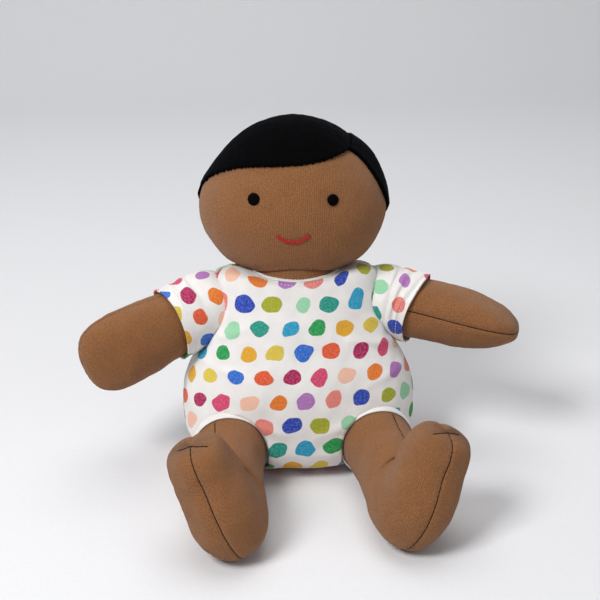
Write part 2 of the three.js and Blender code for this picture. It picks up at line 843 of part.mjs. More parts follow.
// A limb's cloth is drawn in and stitched to a knot at its pivot, where the body holds it.
function gatherPiece(name) {
  const geometry = new THREE.SphereGeometry(gather.radius, knotSegments, knotSegments / 2);
  return namedMesh(name, geometry, skinCloth);
}

// The hollow that the gathered knot lies in, open towards the body.
function gatherRoom() {
  const radius = gather.radius + cloth.gap;
  const way = new THREE.CylinderGeometry(radius, radius, overrun, knotSegments);
  way.rotateX(Math.PI / 2);
  way.translate(0, 0, -overrun / 2);
  return roomBall(radius, new THREE.Vector3(), knotSegments).add(solid(way));
}

function legPieces(side, pose) {
  const name = side > 0 ? "left" : "right";
  const pivot = new THREE.Group();
  pivot.name = `${name}_hip`;
  pivot.position.copy(hip(side)).applyMatrix4(leanBack);
  const splay = new THREE.Matrix4().makeRotationZ(degToRad(side * pose.splay));
  const aim = new THREE.Matrix4().makeRotationX(Math.PI / 2);
  const turnOut = new THREE.Matrix4().makeRotationZ(-side * degToRad(leg.turnOut));
  const all = splay.multiply(aim).multiply(turnOut);
  pivot.quaternion.setFromRotationMatrix(all);
  const toFloor = all.clone().setPosition(pivot.position);
  const fromFloor = toFloor.clone().invert();
  const press = (point, depth) => {
    point.applyMatrix4(toFloor);
    point.z = Math.max(point.z, depth);
    point.applyMatrix4(fromFloor);
  };
  const form = legForm();
  const hollow = gatherRoom();
  const skin = wallSolid(form, 0, cloth.wall, press).subtract(hollow);
  const stuffing = solid(layerGeometry(form, bareFillingTop, press)).subtract(hollow);
  const plus = geometryOf(skin.intersect(halfSpace("x", 1)));
  const minus = geometryOf(skin.intersect(halfSpace("x", -1)));
  const [outer, inner] = side > 0 ? [plus, minus] : [minus, plus];
  pivot.add(gatherPiece(`${name}_leg_gathered_root`));
  pivot.add(namedMesh(`${name}_leg_stuffing`, geometryOf(stuffing), filling));
  pivot.add(namedMesh(`${name}_leg_outer_panel`, outer, skinCloth));
  pivot.add(namedMesh(`${name}_leg_inner_panel`, inner, skinCloth));
  return pivot;
}

// The middle of the flat seat lies behind the foot of the torso's axis, and comes to the origin.
const sitting = new THREE.Group();
sitting.position.y = -torso.seatBehind;
const leaning = new THREE.Group();
leaning.rotation.x = -degToRad(torso.lean);
leaning.add(torsoPieces(), neckPieces(), headPieces());
sitting.add(leaning);
sitting.add(armPieces(-1, rightArmPose), armPieces(1, leftArmPose));
sitting.add(legPieces(-1, rightLegPose), legPieces(1, leftLegPose));
const doll = new THREE.Group();
doll.add(sitting);

export default doll;
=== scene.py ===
"""A sitting cloth baby doll: knitted skin, velour hair, stitched face and a dotted bodysuit."""

import json
import math

import bmesh
import bpy
import numpy as np
from bpy.props import FloatProperty, FloatVectorProperty, PointerProperty
from mathutils import Matrix

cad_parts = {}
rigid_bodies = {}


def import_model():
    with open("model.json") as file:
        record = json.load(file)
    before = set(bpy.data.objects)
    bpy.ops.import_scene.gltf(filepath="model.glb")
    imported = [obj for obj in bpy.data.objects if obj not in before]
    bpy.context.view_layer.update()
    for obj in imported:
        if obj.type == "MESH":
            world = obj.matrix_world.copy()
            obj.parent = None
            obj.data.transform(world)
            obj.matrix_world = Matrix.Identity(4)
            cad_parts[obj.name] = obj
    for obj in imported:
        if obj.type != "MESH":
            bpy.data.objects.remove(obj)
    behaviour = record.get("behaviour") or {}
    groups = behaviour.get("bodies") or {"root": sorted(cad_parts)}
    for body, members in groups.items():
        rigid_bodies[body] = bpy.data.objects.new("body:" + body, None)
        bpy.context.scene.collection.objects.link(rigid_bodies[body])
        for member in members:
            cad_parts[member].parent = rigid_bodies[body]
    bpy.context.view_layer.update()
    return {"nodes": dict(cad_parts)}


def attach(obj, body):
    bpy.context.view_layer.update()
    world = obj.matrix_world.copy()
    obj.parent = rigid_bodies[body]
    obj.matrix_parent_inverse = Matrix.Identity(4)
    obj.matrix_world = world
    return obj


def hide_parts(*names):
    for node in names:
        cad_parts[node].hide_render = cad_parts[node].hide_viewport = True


bl_info = {
    "name": "Baby Doll",
    "version": (1, 0, 0),
    "blender": (4, 5, 0),
    "location": "3D View > Sidebar > Baby Doll",
    "description": "Makes a sitting cloth baby doll in a dotted bodysuit",
    "category": "Add Mesh",
}

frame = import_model()

MM = 0.001
TURN = 2 * math.pi
SIDES = {"right": -1, "left": 1}

# Along the torso from its seat to its neck: the share of its height, width and depth there.
TORSO_SHARES = [
    (0, 0, 0), (0.012, 0.5, 0.52), (0.035, 0.76, 0.8), (0.1, 0.9, 0.93), (0.22, 0.975, 0.99),
    (0.37, 1, 1), (0.5, 0.965, 0.96), (0.61, 0.875, 0.88), (0.72, 0.8, 0.82), (0.81, 0.765, 0.76),
    (0.9, 0.745, 0.7), (0.955, 0.7, 0.66), (0.985, 0.58, 0.52), (1, 0, 0),
]
# Up the head from its chin to its crown, as shares of its half height, width and depth.
HEAD_SHARES = [
    (-1, 0, 0), (-0.98, 0.29, 0.31), (-0.92, 0.53, 0.55), (-0.78, 0.735, 0.74),
    (-0.58, 0.88, 0.88), (-0.34, 0.975, 0.97), (-0.12, 1, 1), (0.14, 0.96, 0.99),
    (0.42, 0.825, 0.91), (0.68, 0.64, 0.74), (0.86, 0.44, 0.52), (0.96, 0.22, 0.27), (1, 0, 0),
]
# Along the arm past its round root, as shares of its length, half width and half thickness.
ARM_SHARES = [
    (0.22, 0.84, 0.98), (0.38, 0.89, 0.97), (0.54, 0.97, 0.94), (0.7, 1, 0.85),
    (0.84, 0.95, 0.66), (0.93, 0.8, 0.45), (0.98, 0.55, 0.25), (1, 0, 0),
]
# Along the shin past the round hip, as shares of its length, half height and half width.
SHIN_SHARES = [(0.42, 0.95, 0.93), (0.75, 0.96, 0.95), (1, 0.98, 0.98)]
# Round the heel: degrees turned, then shares of the heel's depth and of the half width.
HEEL_SHARES = [(22, 0.87, 0.995), (44, 0.985, 1), (64, 0.93, 0.985), (84, 0.815, 0.95)]
# Up the foot from the ankle's crease, as shares of its rise, thickness and half width.
FOOT_SHARES = [(0.3, 0.97, 0.92), (0.66, 0.89, 0.85), (0.88, 0.72, 0.72), (0.98, 0.45, 0.46), (1, 0, 0)]
# The hairline from the left temple to the parting, as shares of the way across and up.
HAIRLINE_SHARES = [
    (0, 0), (0.045, 0.29), (0.13, 0.5), (0.27, 0.62), (0.5, 0.655), (0.68, 0.67),
    (0.83, 0.75), (0.93, 0.87), (1, 1),
]
# The inner edge of the side strip, from the parting down, as shares of the way out and down.
STRIP_SHARES = [(0, 0), (0.32, 0.17), (0.62, 0.43), (0.85, 0.72), (1, 1)]
# Degrees up a limb's round root from its widest place at which it follows a ball.
ROOT_ANGLES = (-90, -80, -68, -55, -42, -28, -16, -4, 10)


def from_screen(red, green, blue):
    """A screen colour from 0 to 255 as the linear colour that shaders take."""
    values = np.array([red, green, blue]) / 255
    linear = np.where(values <= 0.04045, values / 12.92, ((values + 0.055) / 1.055) ** 2.4)
    return tuple(float(value) for value in linear)


def length_size(name, description, default):
    return FloatProperty(name=name, description=description, default=default, unit="LENGTH")


def angle_size(name, description, degrees):
    default = math.radians(degrees)
    return FloatProperty(name=name, description=description, default=default, unit="ROTATION")


def colour(name, description, red, green, blue):
    default = from_screen(red, green, blue)
    return FloatVectorProperty(
        name=name, description=description, default=default, subtype="COLOR", min=0, max=1
    )


class DollSizes(bpy.types.PropertyGroup):
    """The doll's own sizes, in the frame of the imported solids."""

    lean: angle_size("Lean", "How far the torso leans back", 14)
    seat_behind: length_size("Seat behind", "From the torso's foot back to the seat", 0.018)
    torso_height: length_size("Torso height", "From the seat to the neck", 0.122)
    torso_sink: length_size("Torso sink", "How far the soft seat spreads flat", 0.004)
    torso_half_width: length_size("Torso half width", "At the belly", 0.076)
    torso_half_depth: length_size("Torso half depth", "At the belly", 0.044)
    neck_height: length_size("Neck height", "Of the neck's pivot up the torso", 0.123)
    neck_radius: length_size("Neck radius", "Of the ball that seats the head", 0.0265)
    head_height: length_size("Head height", "Of the head's middle up the torso", 0.172)
    head_half_width: length_size("Head half width", "Across the cheeks", 0.0593)
    head_half_height: length_size("Head half height", "From the middle to the crown", 0.05)
    head_half_depth: length_size("Head half depth", "From the middle to the face", 0.046)
    head_turn: angle_size("Head turn", "Of the head at rest", -6)
    head_nod: angle_size("Head nod", "Of the head at rest", 2.5)
    arm_across: length_size("Shoulder across", "From the middle to a shoulder", 0.059)
    arm_height: length_size("Shoulder height", "Up the torso", 0.102)
    arm_length: length_size("Arm length", "From the shoulder to the hand's tip", 0.088)
    arm_root: length_size("Arm root radius", "Of the arm's round end", 0.022)
    arm_half_width: length_size("Arm half width", "Across the mitten hand", 0.024)
    arm_half_thickness: length_size("Arm half thickness", "Of the upper arm", 0.020)
    sleeve_reach: length_size("Sleeve reach", "Of the sleeve past the shoulder", 0.019)
    sleeve_mouth: length_size("Sleeve mouth radius", "Of the open end", 0.0245)
    leg_across: length_size("Hip across", "From the middle to a hip", 0.047)
    leg_forward: length_size("Hip forward", "Of the torso's foot", 0.028)
    leg_root: length_size("Leg root radius", "Of the leg's round end", 0.0232)
    shin_length: length_size("Shin length", "From the hip to the ankle's crease", 0.053)
    leg_half_height: length_size("Leg half height", "Of the shin", 0.0232)
    leg_half_width: length_size("Leg half width", "Of the foot", 0.0215)
    heel_depth: length_size("Heel depth", "Through the ankle to the heel", 0.058)
    foot_thickness: length_size("Foot thickness", "From the sole to the instep", 0.042)
    foot_rise: length_size("Foot rise", "Of the toes over the ankle", 0.0295)
    cloth_wall: length_size("Cloth wall", "Thickness of the cloth", 0.0012)
    rib_pitch: length_size("Knit rib pitch", "Between two ribs of the skin's knit", 0.00115)
    dot_pitch: length_size("Dot pitch", "Between the middles of two dots in a row", 0.0178)
    dot_rise: length_size("Dot row pitch", "Between two rows of dots", 0.0152)
    dot_radius: length_size("Dot radius", "Half the length of a dot", 0.0060)


class DollColours(bpy.types.PropertyGroup):
    """The doll's own colours."""

    skin: colour("Skin", "Knitted skin", 138, 93, 58)
    hair: colour("Hair", "Velour hair", 5, 5, 6)
    eyes: colour("Eyes", "Satin-stitched eyes", 4, 4, 5)
    mouth: colour("Mouth", "Stitched mouth", 172, 22, 24)
    suit: colour("Bodysuit", "White jersey", 238, 235, 232)
    floor: colour("Floor", "Floor and backdrop", 228, 228, 230)


def sizes():
    return bpy.context.scene.doll_sizes


def colours():
    return bpy.context.scene.doll_colours


# Placing


def turned(axis, angle):
    """The rotation matrix about the x, y or z axis by an angle."""
    first = "xyz".index(axis)
    a, b = (first + 1) % 3, (first + 2) % 3
    matrix = np.eye(3)
    matrix[a, a] = matrix[b, b] = math.cos(angle)
    matrix[b, a] = math.sin(angle)
    matrix[a, b] = -math.sin(angle)
    return matrix


class Place:
    """A rotation and an origin: the frame that one part of the doll is shaped in."""

    def __init__(self, rotation, origin):
        self.rotation = rotation
        self.origin = np.asarray(origin, float)

    def out(self, points):
        """Points of this frame in the frame of the floor: turned, then moved."""
        return np.asarray(points) @ self.rotation.T + self.origin

    def into(self, points):
        """Points of the floor's frame in this frame: moved back, then turned back."""
        return (np.asarray(points) - self.origin) @ self.rotation


def torso_place():
    s = sizes()
    return Place(turned("x", -s.lean), (0, -s.seat_behind, 0))


def neck_place():
    s, torso = sizes(), torso_place()
    return Place(torso.rotation @ turned("z", s.head_turn), torso.out((0, 0, s.neck_height)))


def head_place():
    s, neck = sizes(), neck_place()
    rotation = neck.rotation @ turned("x", -s.head_nod)
    rise = np.array([0, 0, s.head_height - s.neck_height])
    return Place(rotation, neck.origin + rotation @ rise)


ARM_POSES = {"right": (25, 15, 172), "left": (20, 8, 76)}
LEG_SPLAYS = {"right": 3, "left": 7}
LEG_TURN_OUT = 23


def shoulder(name):
    s = sizes()
    return torso_place().out((SIDES[name] * s.arm_across, 0, s.arm_height))


def hip(name):
    s = sizes()
    return np.array([SIDES[name] * s.leg_across, -s.leg_forward - s.seat_behind, s.leg_root])


def arm_place(name):
    """The arm's frame: its Z runs along the arm, which points forwards, down and is rolled."""
    side = SIDES[name]
    forward, down, roll = (side * math.radians(angle) for angle in ARM_POSES[name])
    rotation = (
        turned("z", -forward) @ turned("y", down) @ turned("y", side * TURN / 4) @ turned("z", roll)
    )
    return Place(rotation, shoulder(name))


def leg_place(name):
    """The leg's frame: its Z runs along the leg to the heel and its Y is up the shin."""
    side = SIDES[name]
    splay = side * math.radians(LEG_SPLAYS[name])
    turn_out = -side * math.radians(LEG_TURN_OUT)
    rotation = turned("z", splay) @ turned("x", TURN / 4) @ turned("z", turn_out)
    return Place(rotation, hip(name))


# Smooth tables and grids


def smooth_table(table, count):
    """Rows joined by cubic pieces. The parameter grows with the square root of the distance
    between rows, and each inner slope is the weighted mean of the slopes beside it."""
    rows = np.asarray(table, float)
    steps = np.sqrt(np.linalg.norm(np.diff(rows, axis=0), axis=1))
    knots = np.concatenate([[0], np.cumsum(steps)])
    chords = np.diff(rows, axis=0) / steps[:, None]
    slopes = np.empty_like(rows)
    weights = steps[:-1] + steps[1:]
    slopes[1:-1] = (chords[:-1] * steps[1:, None] + chords[1:] * steps[:-1, None]) / weights[:, None]
    slopes[0] = 2 * chords[0] - slopes[1]
    slopes[-1] = 2 * chords[-1] - slopes[-2]
    where = np.linspace(0, knots[-1], count)
    piece = np.clip(np.searchsorted(knots, where, side="right") - 1, 0, len(steps) - 1)
    step = steps[piece][:, None]
    t = (where - knots[piece])[:, None] / step
    from_row, to_row = rows[piece], rows[piece + 1]
    return (
        (2 * t**3 - 3 * t**2 + 1) * from_row
        + (t**3 - 2 * t**2 + t) * step * slopes[piece]
        + (3 * t**2 - 2 * t**3) * to_row
        + (t**3 - t**2) * step * slopes[piece + 1]
    )


class Profile:
    """A smooth table that is read at any share of its own length."""

    def __init__(self, table, scales=1.0, count=1200):
        self.rows = smooth_table(np.asarray(table, float) * scales, count)
        length = np.concatenate([[0], np.cumsum(np.linalg.norm(np.diff(self.rows, axis=0), axis=1))])
        self.length = length[-1]
        self.share = length / length[-1]

    def at(self, share):
        return [np.interp(share, self.share, column) for column in self.rows.T]

    def at_first(self, value):
        """The other columns where the first one has a value."""
        return [np.interp(value, self.rows[:, 0], column) for column in self.rows.T[1:]]


def half_round(start, count):
    """Angles over half a turn from a start, which lie closer near both ends."""
    return start + edge_spacing(count) * TURN / 2


def swept(radius, angle, height):
    """Places at radii round an axis and heights along it."""
    parts = np.broadcast_arrays(radius * np.cos(angle), radius * np.sin(angle), height)
    return np.stack(parts, axis=-1)


def oval(across, along, squareness, angle):
    """A closed oval: the cosine and sine of the angle to the power of two over its squareness."""
    power = 2 / squareness
    c, s = np.cos(angle), np.sin(angle)
    return across * np.sign(c) * np.abs(c) ** power, along * np.sign(s) * np.abs(s) ** power


def unit(vectors):
    return vectors / np.maximum(np.linalg.norm(vectors, axis=-1, keepdims=True), 1e-12)


def smooth_step(low, high, values):
    """From 0 at low to 1 at high along the curve 3t squared less 2t cubed."""
    t = np.clip((values - low) / (high - low), 0, 1)
    return t * t * (3 - 2 * t)


def bell(distance, width):
    """A bell-shaped curve: 1 at no distance, and the exponential of -1 a width away."""
    return np.exp(-((distance / width) ** 2))


def edge_spacing(count):
    """Shares from 0 to 1 that lie closer near both ends: half of one less a cosine."""
    return 0.5 - 0.5 * np.cos(np.linspace(0, math.pi, count))


def outward(grid, closed=False):
    """Unit normals of a grid: the cross product of its two directions, away from its middle."""
    wide = np.concatenate([grid[:, -2:-1], grid, grid[:, 1:2]], axis=1) if closed else grid
    normals = np.cross(np.gradient(wide, axis=1), np.gradient(wide, axis=0))
    normals = unit(normals[:, 1:-1] if closed else normals)
    for end, near in ((0, 1), (-1, -2)):
        if np.ptp(grid[end], axis=0).max() < 1e-6:
            normals[end] = unit(normals[near].mean(axis=0))
    if ((grid - grid.mean(axis=(0, 1))) * normals).sum() < 0:
        normals = -normals
    return normals


def walk(grid, axis):
    """The distance gone along one direction of a grid at each of its points."""
    steps = np.linalg.norm(np.diff(grid, axis=axis), axis=-1)
    start = np.zeros_like(np.take(steps, [0], axis=axis))
    return np.concatenate([start, np.cumsum(steps, axis=axis)], axis=axis)


def edge_walks(grid):
    """The distances gone over a grid from its left edge, from its right edge, and along it."""
    left = walk(grid, 1)
    return left, left[:, -1:] - left, walk(grid, 0)


def places_along(rows, gone, at):
    """The rows that go with a path, read at distances gone along it."""
    return np.stack([np.interp(at, gone, column) for column in rows.T], axis=-1)


def cloth_map(grid, middle=None):
    """Flat cloth coordinates in metres: the distance round from a middle column, and along."""
    middle = grid.shape[1] // 2 if middle is None else middle
    around = walk(grid, 1)
    return np.stack([around - around[:, middle : middle + 1], walk(grid, 0)], axis=-1)


def grid_faces(rows, columns):
    """The four corners of every face of a grid, in order."""
    i = np.arange(rows - 1)[:, None]
    j = np.arange(columns - 1)[None, :]
    a = i * columns + j
    return np.stack([a, a + 1, a + columns + 1, a + columns], axis=-1).reshape(-1, 4)


def lumps(points, size, seed, count=10):
    """Soft lumps between about -1 and 1: waves of about one size in seeded directions, added."""
    rng = np.random.default_rng(seed)
    ways = unit(rng.normal(size=(count, 3)))
    ways = ways * (TURN / (size * rng.uniform(0.7, 1.4, count)))[:, None]
    starts = rng.uniform(0, TURN, count)
    return np.sin(np.asarray(points) @ ways.T + starts).sum(axis=-1) / math.sqrt(count) / 1.2


# Making pieces


def add_mesh(name, points, faces, cloth=None, weld=True):
    """A smooth mesh of points and faces with its cloth coordinates, welded and facing outwards."""
    mesh = bpy.data.meshes.new(name)
    mesh.from_pydata(np.asarray(points).reshape(-1, 3).tolist(), [], np.asarray(faces).tolist())
    if cloth is not None:
        layer = mesh.uv_layers.new(name="Cloth")
        layer.uv.foreach_set("vector", cloth.reshape(-1, 2)[np.asarray(faces)].ravel())
    if weld:
        shape = bmesh.new()
        shape.from_mesh(mesh)
        bmesh.ops.remove_doubles(shape, verts=shape.verts, dist=2e-6)
        bmesh.ops.recalc_face_normals(shape, faces=shape.faces)
        shape.to_mesh(mesh)
        shape.free()
    mesh.polygons.foreach_set("use_smooth", [True] * len(mesh.polygons))
    piece = bpy.data.objects.new(name, mesh)
    bpy.context.collection.objects.link(piece)
    return piece


def grid_piece(name, grid, cloth=None):
    return add_mesh(name, grid, grid_faces(*grid.shape[:2]), cloth)


def give_wall(piece, thickness):
    """Gives a surface the thickness of its cloth, inwards, with closed rims."""
    wall = piece.modifiers.new("Cloth wall", "SOLIDIFY")
    wall.thickness = thickness
    wall.offset = -1
    wall.use_rim = True


def finish_piece(piece, material, body, slot, *nodes):
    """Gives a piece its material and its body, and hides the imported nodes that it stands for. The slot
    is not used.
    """
    piece.data.materials.append(material)
    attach(piece, body)
    if nodes:
        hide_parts(*nodes)


def stitch_form(rows=5, columns=6):
    """One stitch: a spindle along X whose radius is the square root of a sine, from end to end."""
    t = np.linspace(0, math.pi, rows)[:, None]
    angle = np.linspace(0, TURN, columns + 1)[None, :]
    radius = np.sqrt(np.maximum(np.sin(t), 0))
    flat = np.zeros_like(angle)
    return np.stack([-np.cos(t) + flat, radius * np.cos(angle), radius * np.sin(angle)], axis=-1)


def spike_form():
    """One tuft of pile: a thin cone along X with three sides."""
    angle = np.linspace(0, TURN, 4)[None, :]
    along = np.array([-1.0, -0.2, 1.0])[:, None]
    radius = np.array([1.0, 0.8, 0.0])[:, None]
    flat = np.zeros_like(angle)
    return np.stack([along + flat, radius * np.cos(angle), radius * np.sin(angle)], axis=-1)


def many_forms(name, form, centres, ways, ups, half_lengths, radii, flatness=1.0):
    """Copies of one small form, each along its own way and up, all in one mesh."""
    ways = unit(ways)
    across = unit(np.cross(ups, ways))
    ups = np.cross(ways, across)
    half_lengths = np.broadcast_to(half_lengths, len(centres))
    radii = np.broadcast_to(radii, len(centres))
    points = (
        centres[:, None, None, :]
        + form[None, ..., 0:1] * (ways * half_lengths[:, None])[:, None, None, :]
        + form[None, ..., 1:2] * (across * radii[:, None])[:, None, None, :]
        + form[None, ..., 2:3] * (ups * radii[:, None] * flatness)[:, None, None, :]
    )
    rows, columns = form.shape[:2]
    faces = grid_faces(rows, columns)
    starts = np.arange(len(centres)) * rows * columns
    return add_mesh(name, points, (faces[None] + starts[:, None, None]).reshape(-1, 4))


def stitches_along(path, normals, pitch, length):
    """Places for a row of stitches: one each pitch along a path, with its way and its up."""
    gone = walk(path[None], 1)[0]
    count = max(int(gone[-1] / pitch), 1)
    middles = (np.arange(count) + 0.5) * gone[-1] / count
    starts, ends = (places_along(path, gone, middles + way) for way in (-length / 2, length / 2))
    return places_along(path, gone, middles), ends - starts, unit(places_along(normals, gone, middles))


def sew(name, path, normals, pitch, half_length, body):
    """A row of white stitches along a path."""
    centres, ways, ups = stitches_along(path, normals, pitch, 1 * MM)
    piece = many_forms(name, stitch_form(), centres, ways, ups, half_length, 0.2 * MM, 0.7)
    finish_piece(piece, finishes()["White thread"], body, "dot_cloth")


# Between the rings of a seam's thread, the length of its stitches, and a way no seam follows.
THREAD_STEP = 0.6 * MM
STITCH = 2.4 * MM
OFF_EVERY_SEAM = (0.31, 0.52, 0.8)


def seam_pull(distance, along, seed, depth, width=1.7 * MM, pucker=0.35 * MM):
    """How far cloth is drawn in near a seam: a bell-shaped groove, a narrow turned-in edge, and
    puckers that come and go along the seam and fade away from it."""
    rng = np.random.default_rng(seed)
    wobble = np.sin(along / (5.1 * MM) + rng.uniform(0, TURN)) * 1.3
    beat = 0.5 + 0.5 * np.sin(along * TURN / (3.4 * MM) + wobble)
    groove = depth * bell(distance, width)
    turned_in = 0.55 * MM * bell(distance, 0.4 * MM)
    puckers = pucker * beat * bell(distance, 4.2 * MM)
    return groove + turned_in + puckers


def thread_along(name, path, radius, body):
    """A seam's thread of near-black brown, partly the thread's own colour and partly painted shade for the
    seam's crease: a round tube along a path, whose radius beats once a stitch.
    """
    gone = walk(path[None], 1)[0]
    count = max(int(gone[-1] / THREAD_STEP), 8)
    at = np.linspace(0, gone[-1], count)
    centres = places_along(path, gone, at)
    ways = unit(np.gradient(centres, axis=0))
    side = unit(np.cross(ways, OFF_EVERY_SEAM))
    other = np.cross(ways, side)
    angle = np.linspace(0, TURN, 9)[None, :, None]
    swell = radius * (0.85 + 0.15 * np.cos(at * TURN / STITCH))
    swell[0] = swell[-1] = 0.0
    ring = side[:, None] * np.cos(angle) + other[:, None] * np.sin(angle)
    piece = grid_piece(name, centres[:, None] + ring * swell[:, None, None])
    finish_piece(piece, finishes()["Brown thread"], body, "skin_cloth")


# Surfaces of the doll


def torso_profile():
    s = sizes()
    scales = (s.torso_height + s.torso_sink, s.torso_half_width, s.torso_half_depth)
    return Profile(TORSO_SHARES, scales)


TORSO_SQUARENESS = 2.4
HEAD_SQUARENESS = 2.15
ARM_SQUARENESS = 2.2
LEG_SQUARENESS = 2.15


def above_floor(points, rest=0.0, softness=1.4 * MM):
    """Points that would sink into the floor spread just above it: half of the height and the
    root of its square and the softness squared."""
    points = np.array(points)
    height = points[..., 2] - rest
    points[..., 2] = rest + (height + np.sqrt(height**2 + softness**2)) / 2
    return points


def torso_surface(profile, stand=0.0):
    """The torso as a function of a share up its side and an angle round it: ovals stacked up
    its axis, leaned back and spread flat on the floor."""
    s = sizes()
    place = torso_place()

    def at(share, angle):
        up, across, along = profile.at(share)
        x, y = oval(across + stand, along + stand, TORSO_SQUARENESS, angle)
        top = stand * np.clip(up / s.torso_height * 2 - 1, -1, 1)
        z = up - s.torso_sink + top
        return above_floor(place.out(np.stack([x, y, z], axis=-1)), rest=max(-stand, 0))

    return at


def suit_surface():
    """The bodysuit as the torso's surface, which rises a little round the neck and more at the
    shoulders: a smooth step outwards times a smooth step upwards, along the torso's axis."""
    place = torso_place()
    surface = torso_surface(torso_profile())

    def at(share, angle):
        points = surface(share, angle)
        local = place.into(points)
        outer = smooth_step(18 * MM, 43 * MM, np.abs(local[..., 0]))
        upper = smooth_step(98 * MM, 117 * MM, local[..., 2])
        return points + ((1.9 * MM + 5.6 * MM * outer) * upper)[..., None] * place.rotation[:, 2]

    return at


def head_profile():
    s = sizes()
    return Profile(HEAD_SHARES, (s.head_half_height, s.head_half_width, s.head_half_depth))


def head_surface():
    """The head as a function of a share from chin to crown and an angle round it: ovals stacked
    up its axis."""
    profile = head_profile()
    place = head_place()

    def at(share, angle):
        up, across, along = profile.at(share)
        x, y = oval(across, along, HEAD_SQUARENESS, angle)
        return place.out(np.stack(np.broadcast_arrays(x, y, up), axis=-1))

    return at


def limb_room(centre, ways, radius):
    """A function that is below zero within a radius of any ray from a centre along the ways."""
    ways = unit(np.asarray(ways))

    def gap(points):
        apart = points - centre
        gone = np.maximum(apart @ ways.T, 0)
        square = (apart**2).sum(axis=-1)[..., None] - 2 * gone * (apart @ ways.T) + gone**2
        return np.sqrt(np.maximum(square, 0)).min(axis=-1) - radius

    return gap


def arm_ways(name):
    """The ways an arm may point, over its range forwards and down."""
    side = SIDES[name]
    forwards = np.radians(np.linspace(-5, 46, 7))
    downs = np.radians(np.linspace(-35, 18, 7))
    rays = [
        turned("z", -side * forward) @ turned("y", side * down) @ [side, 0, 0]
        for forward in forwards
        for down in downs
    ]
    return np.array(rays)


def leg_ways(name):
    """The ways a leg may point, over its range up and sideways."""
    side = SIDES[name]
    ups = np.radians(np.linspace(-72, 35, 12))
    splays = np.radians(np.linspace(-9, 28, 5))
    rays = [
        turned("x", -up) @ turned("z", side * splay) @ [0, -1, 0] for up in ups for splay in splays
    ]
    return np.array(rays)


def resting_ways(name):
    """The ways through a leg hole: the leg as it rests, lifted a little, and let down."""
    way = leg_place(name).rotation[:, 2]
    return np.array([turned("x", -math.radians(up)) @ way for up in np.linspace(-72, 5, 9)])


NECKLINE = (27.4 * MM, 24.6 * MM, 13 * MM)


def neckline_room(margin):
    """A function that is below zero inside the neckline's egg, widened by a margin."""
    s = sizes()
    place = torso_place()
    axes = np.array(NECKLINE) + margin

    def gap(points):
        local = place.into(points) - (0, 0, s.torso_height)
        return (np.linalg.norm(local / axes, axis=-1) - 1) * 30 * MM

    return gap


def ball_room(centre, radius):
    return lambda points: np.linalg.norm(points - centre, axis=-1) - radius


def slide_to_rim(surface, room, share, angle, rounds=6):
    """Moves points of a surface to where a room's function is zero, down its slope, by steps
    of that function over its slope squared."""
    small = 1e-4
    for _ in range(rounds):
        here = surface(share, angle)
        value = room(here)
        by_share = surface(share + small, angle)
        by_angle = surface(share, angle + small)
        reach = [np.linalg.norm(there - here, axis=-1) / small for there in (by_share, by_angle)]
        slope = [(room(there) - value) / small for there in (by_share, by_angle)]
        reach = [np.maximum(one, 1e-4) for one in reach]
        steep = (slope[0] / reach[0]) ** 2 + (slope[1] / reach[1]) ** 2
        pace = value / np.maximum(steep, 1e-3)
        share = share - np.clip(pace * slope[0] / reach[0] ** 2, -0.02, 0.02)
        angle = angle - np.clip(pace * slope[1] / reach[1] ** 2, -0.08, 0.08)
    return share, angle


def trimmed(surface, shares, angles, rooms):
    """A grid of a surface without the rooms in it: faces inside one go, and the corners that
    hang over its rim slide to the rim. Gives the points and the faces kept."""
    share, angle = (a.copy() for a in np.meshgrid(shares, angles, indexing="ij"))
    faces = grid_faces(len(shares), len(angles))
    for room in rooms:
        value = room(surface(share, angle))
        inside = value.ravel() < 0
        faces = faces[~inside[faces].all(axis=1)]
        used = np.zeros(inside.size, bool)
        used[faces.ravel()] = True
        moved = (inside & used).reshape(share.shape)
        share[moved], angle[moved] = slide_to_rim(surface, room, share[moved], angle[moved])
    return surface(share, angle), faces


def used_only(points, faces, *others):
    """Drops the points that no face uses, with what belongs to them."""
    used, faces = np.unique(faces, return_inverse=True)
    faces = faces.reshape(-1, 4)
    flat = [other.reshape(-1, other.shape[-1])[used] for other in (points, *others)]
    return flat[0], faces, *flat[1:]


def ring_on(surface, room_at, margins, starts, ways, reach):
    """For each start and way over a surface, the places where rooms of several margins end,
    found by halving. Gives an array of margins by starts by three."""
    low = np.zeros((len(margins), len(starts)))
    high = np.full_like(low, reach)
    rooms = [room_at(margin) for margin in margins]
    for _ in range(26):
        middle = (low + high) / 2
        at = surface(
            starts[None, :, 0] + middle * ways[None, :, 0],
            starts[None, :, 1] + middle * ways[None, :, 1],
        )
        inside = np.stack([room(row) < 0 for room, row in zip(rooms, at)])
        low = np.where(inside, middle, low)
        high = np.where(inside, high, middle)
    return surface(
        starts[None, :, 0] + low * ways[None, :, 0], starts[None, :, 1] + low * ways[None, :, 1]
    )


# Materials


class Value:
    """What a node gives out, which plain sums turn into more nodes."""

    def __init__(self, recipe, socket):
        self.recipe, self.socket = recipe, socket

    def __add__(self, other):
        return self.recipe.sum("ADD", self, other)

    def __sub__(self, other):
        return self.recipe.sum("SUBTRACT", self, other)

    def __mul__(self, other):
        return self.recipe.sum("MULTIPLY", self, other)

    def __truediv__(self, other):
        return self.recipe.sum("DIVIDE", self, other)

    def spread(self, low, high, to_low=0.0, to_high=1.0):
        """The range from low to high laid over another range, and held at its ends."""
        inputs = {0: self, 1: low, 2: high, 3: to_low, 4: to_high}
        return self.recipe.value("ShaderNodeMapRange", inputs)

    def parts(self):
        """The three numbers of a place or a colour."""
        split = self.recipe.node("ShaderNodeSeparateXYZ", {0: self})
        return [Value(self.recipe, output) for output in split.outputs]


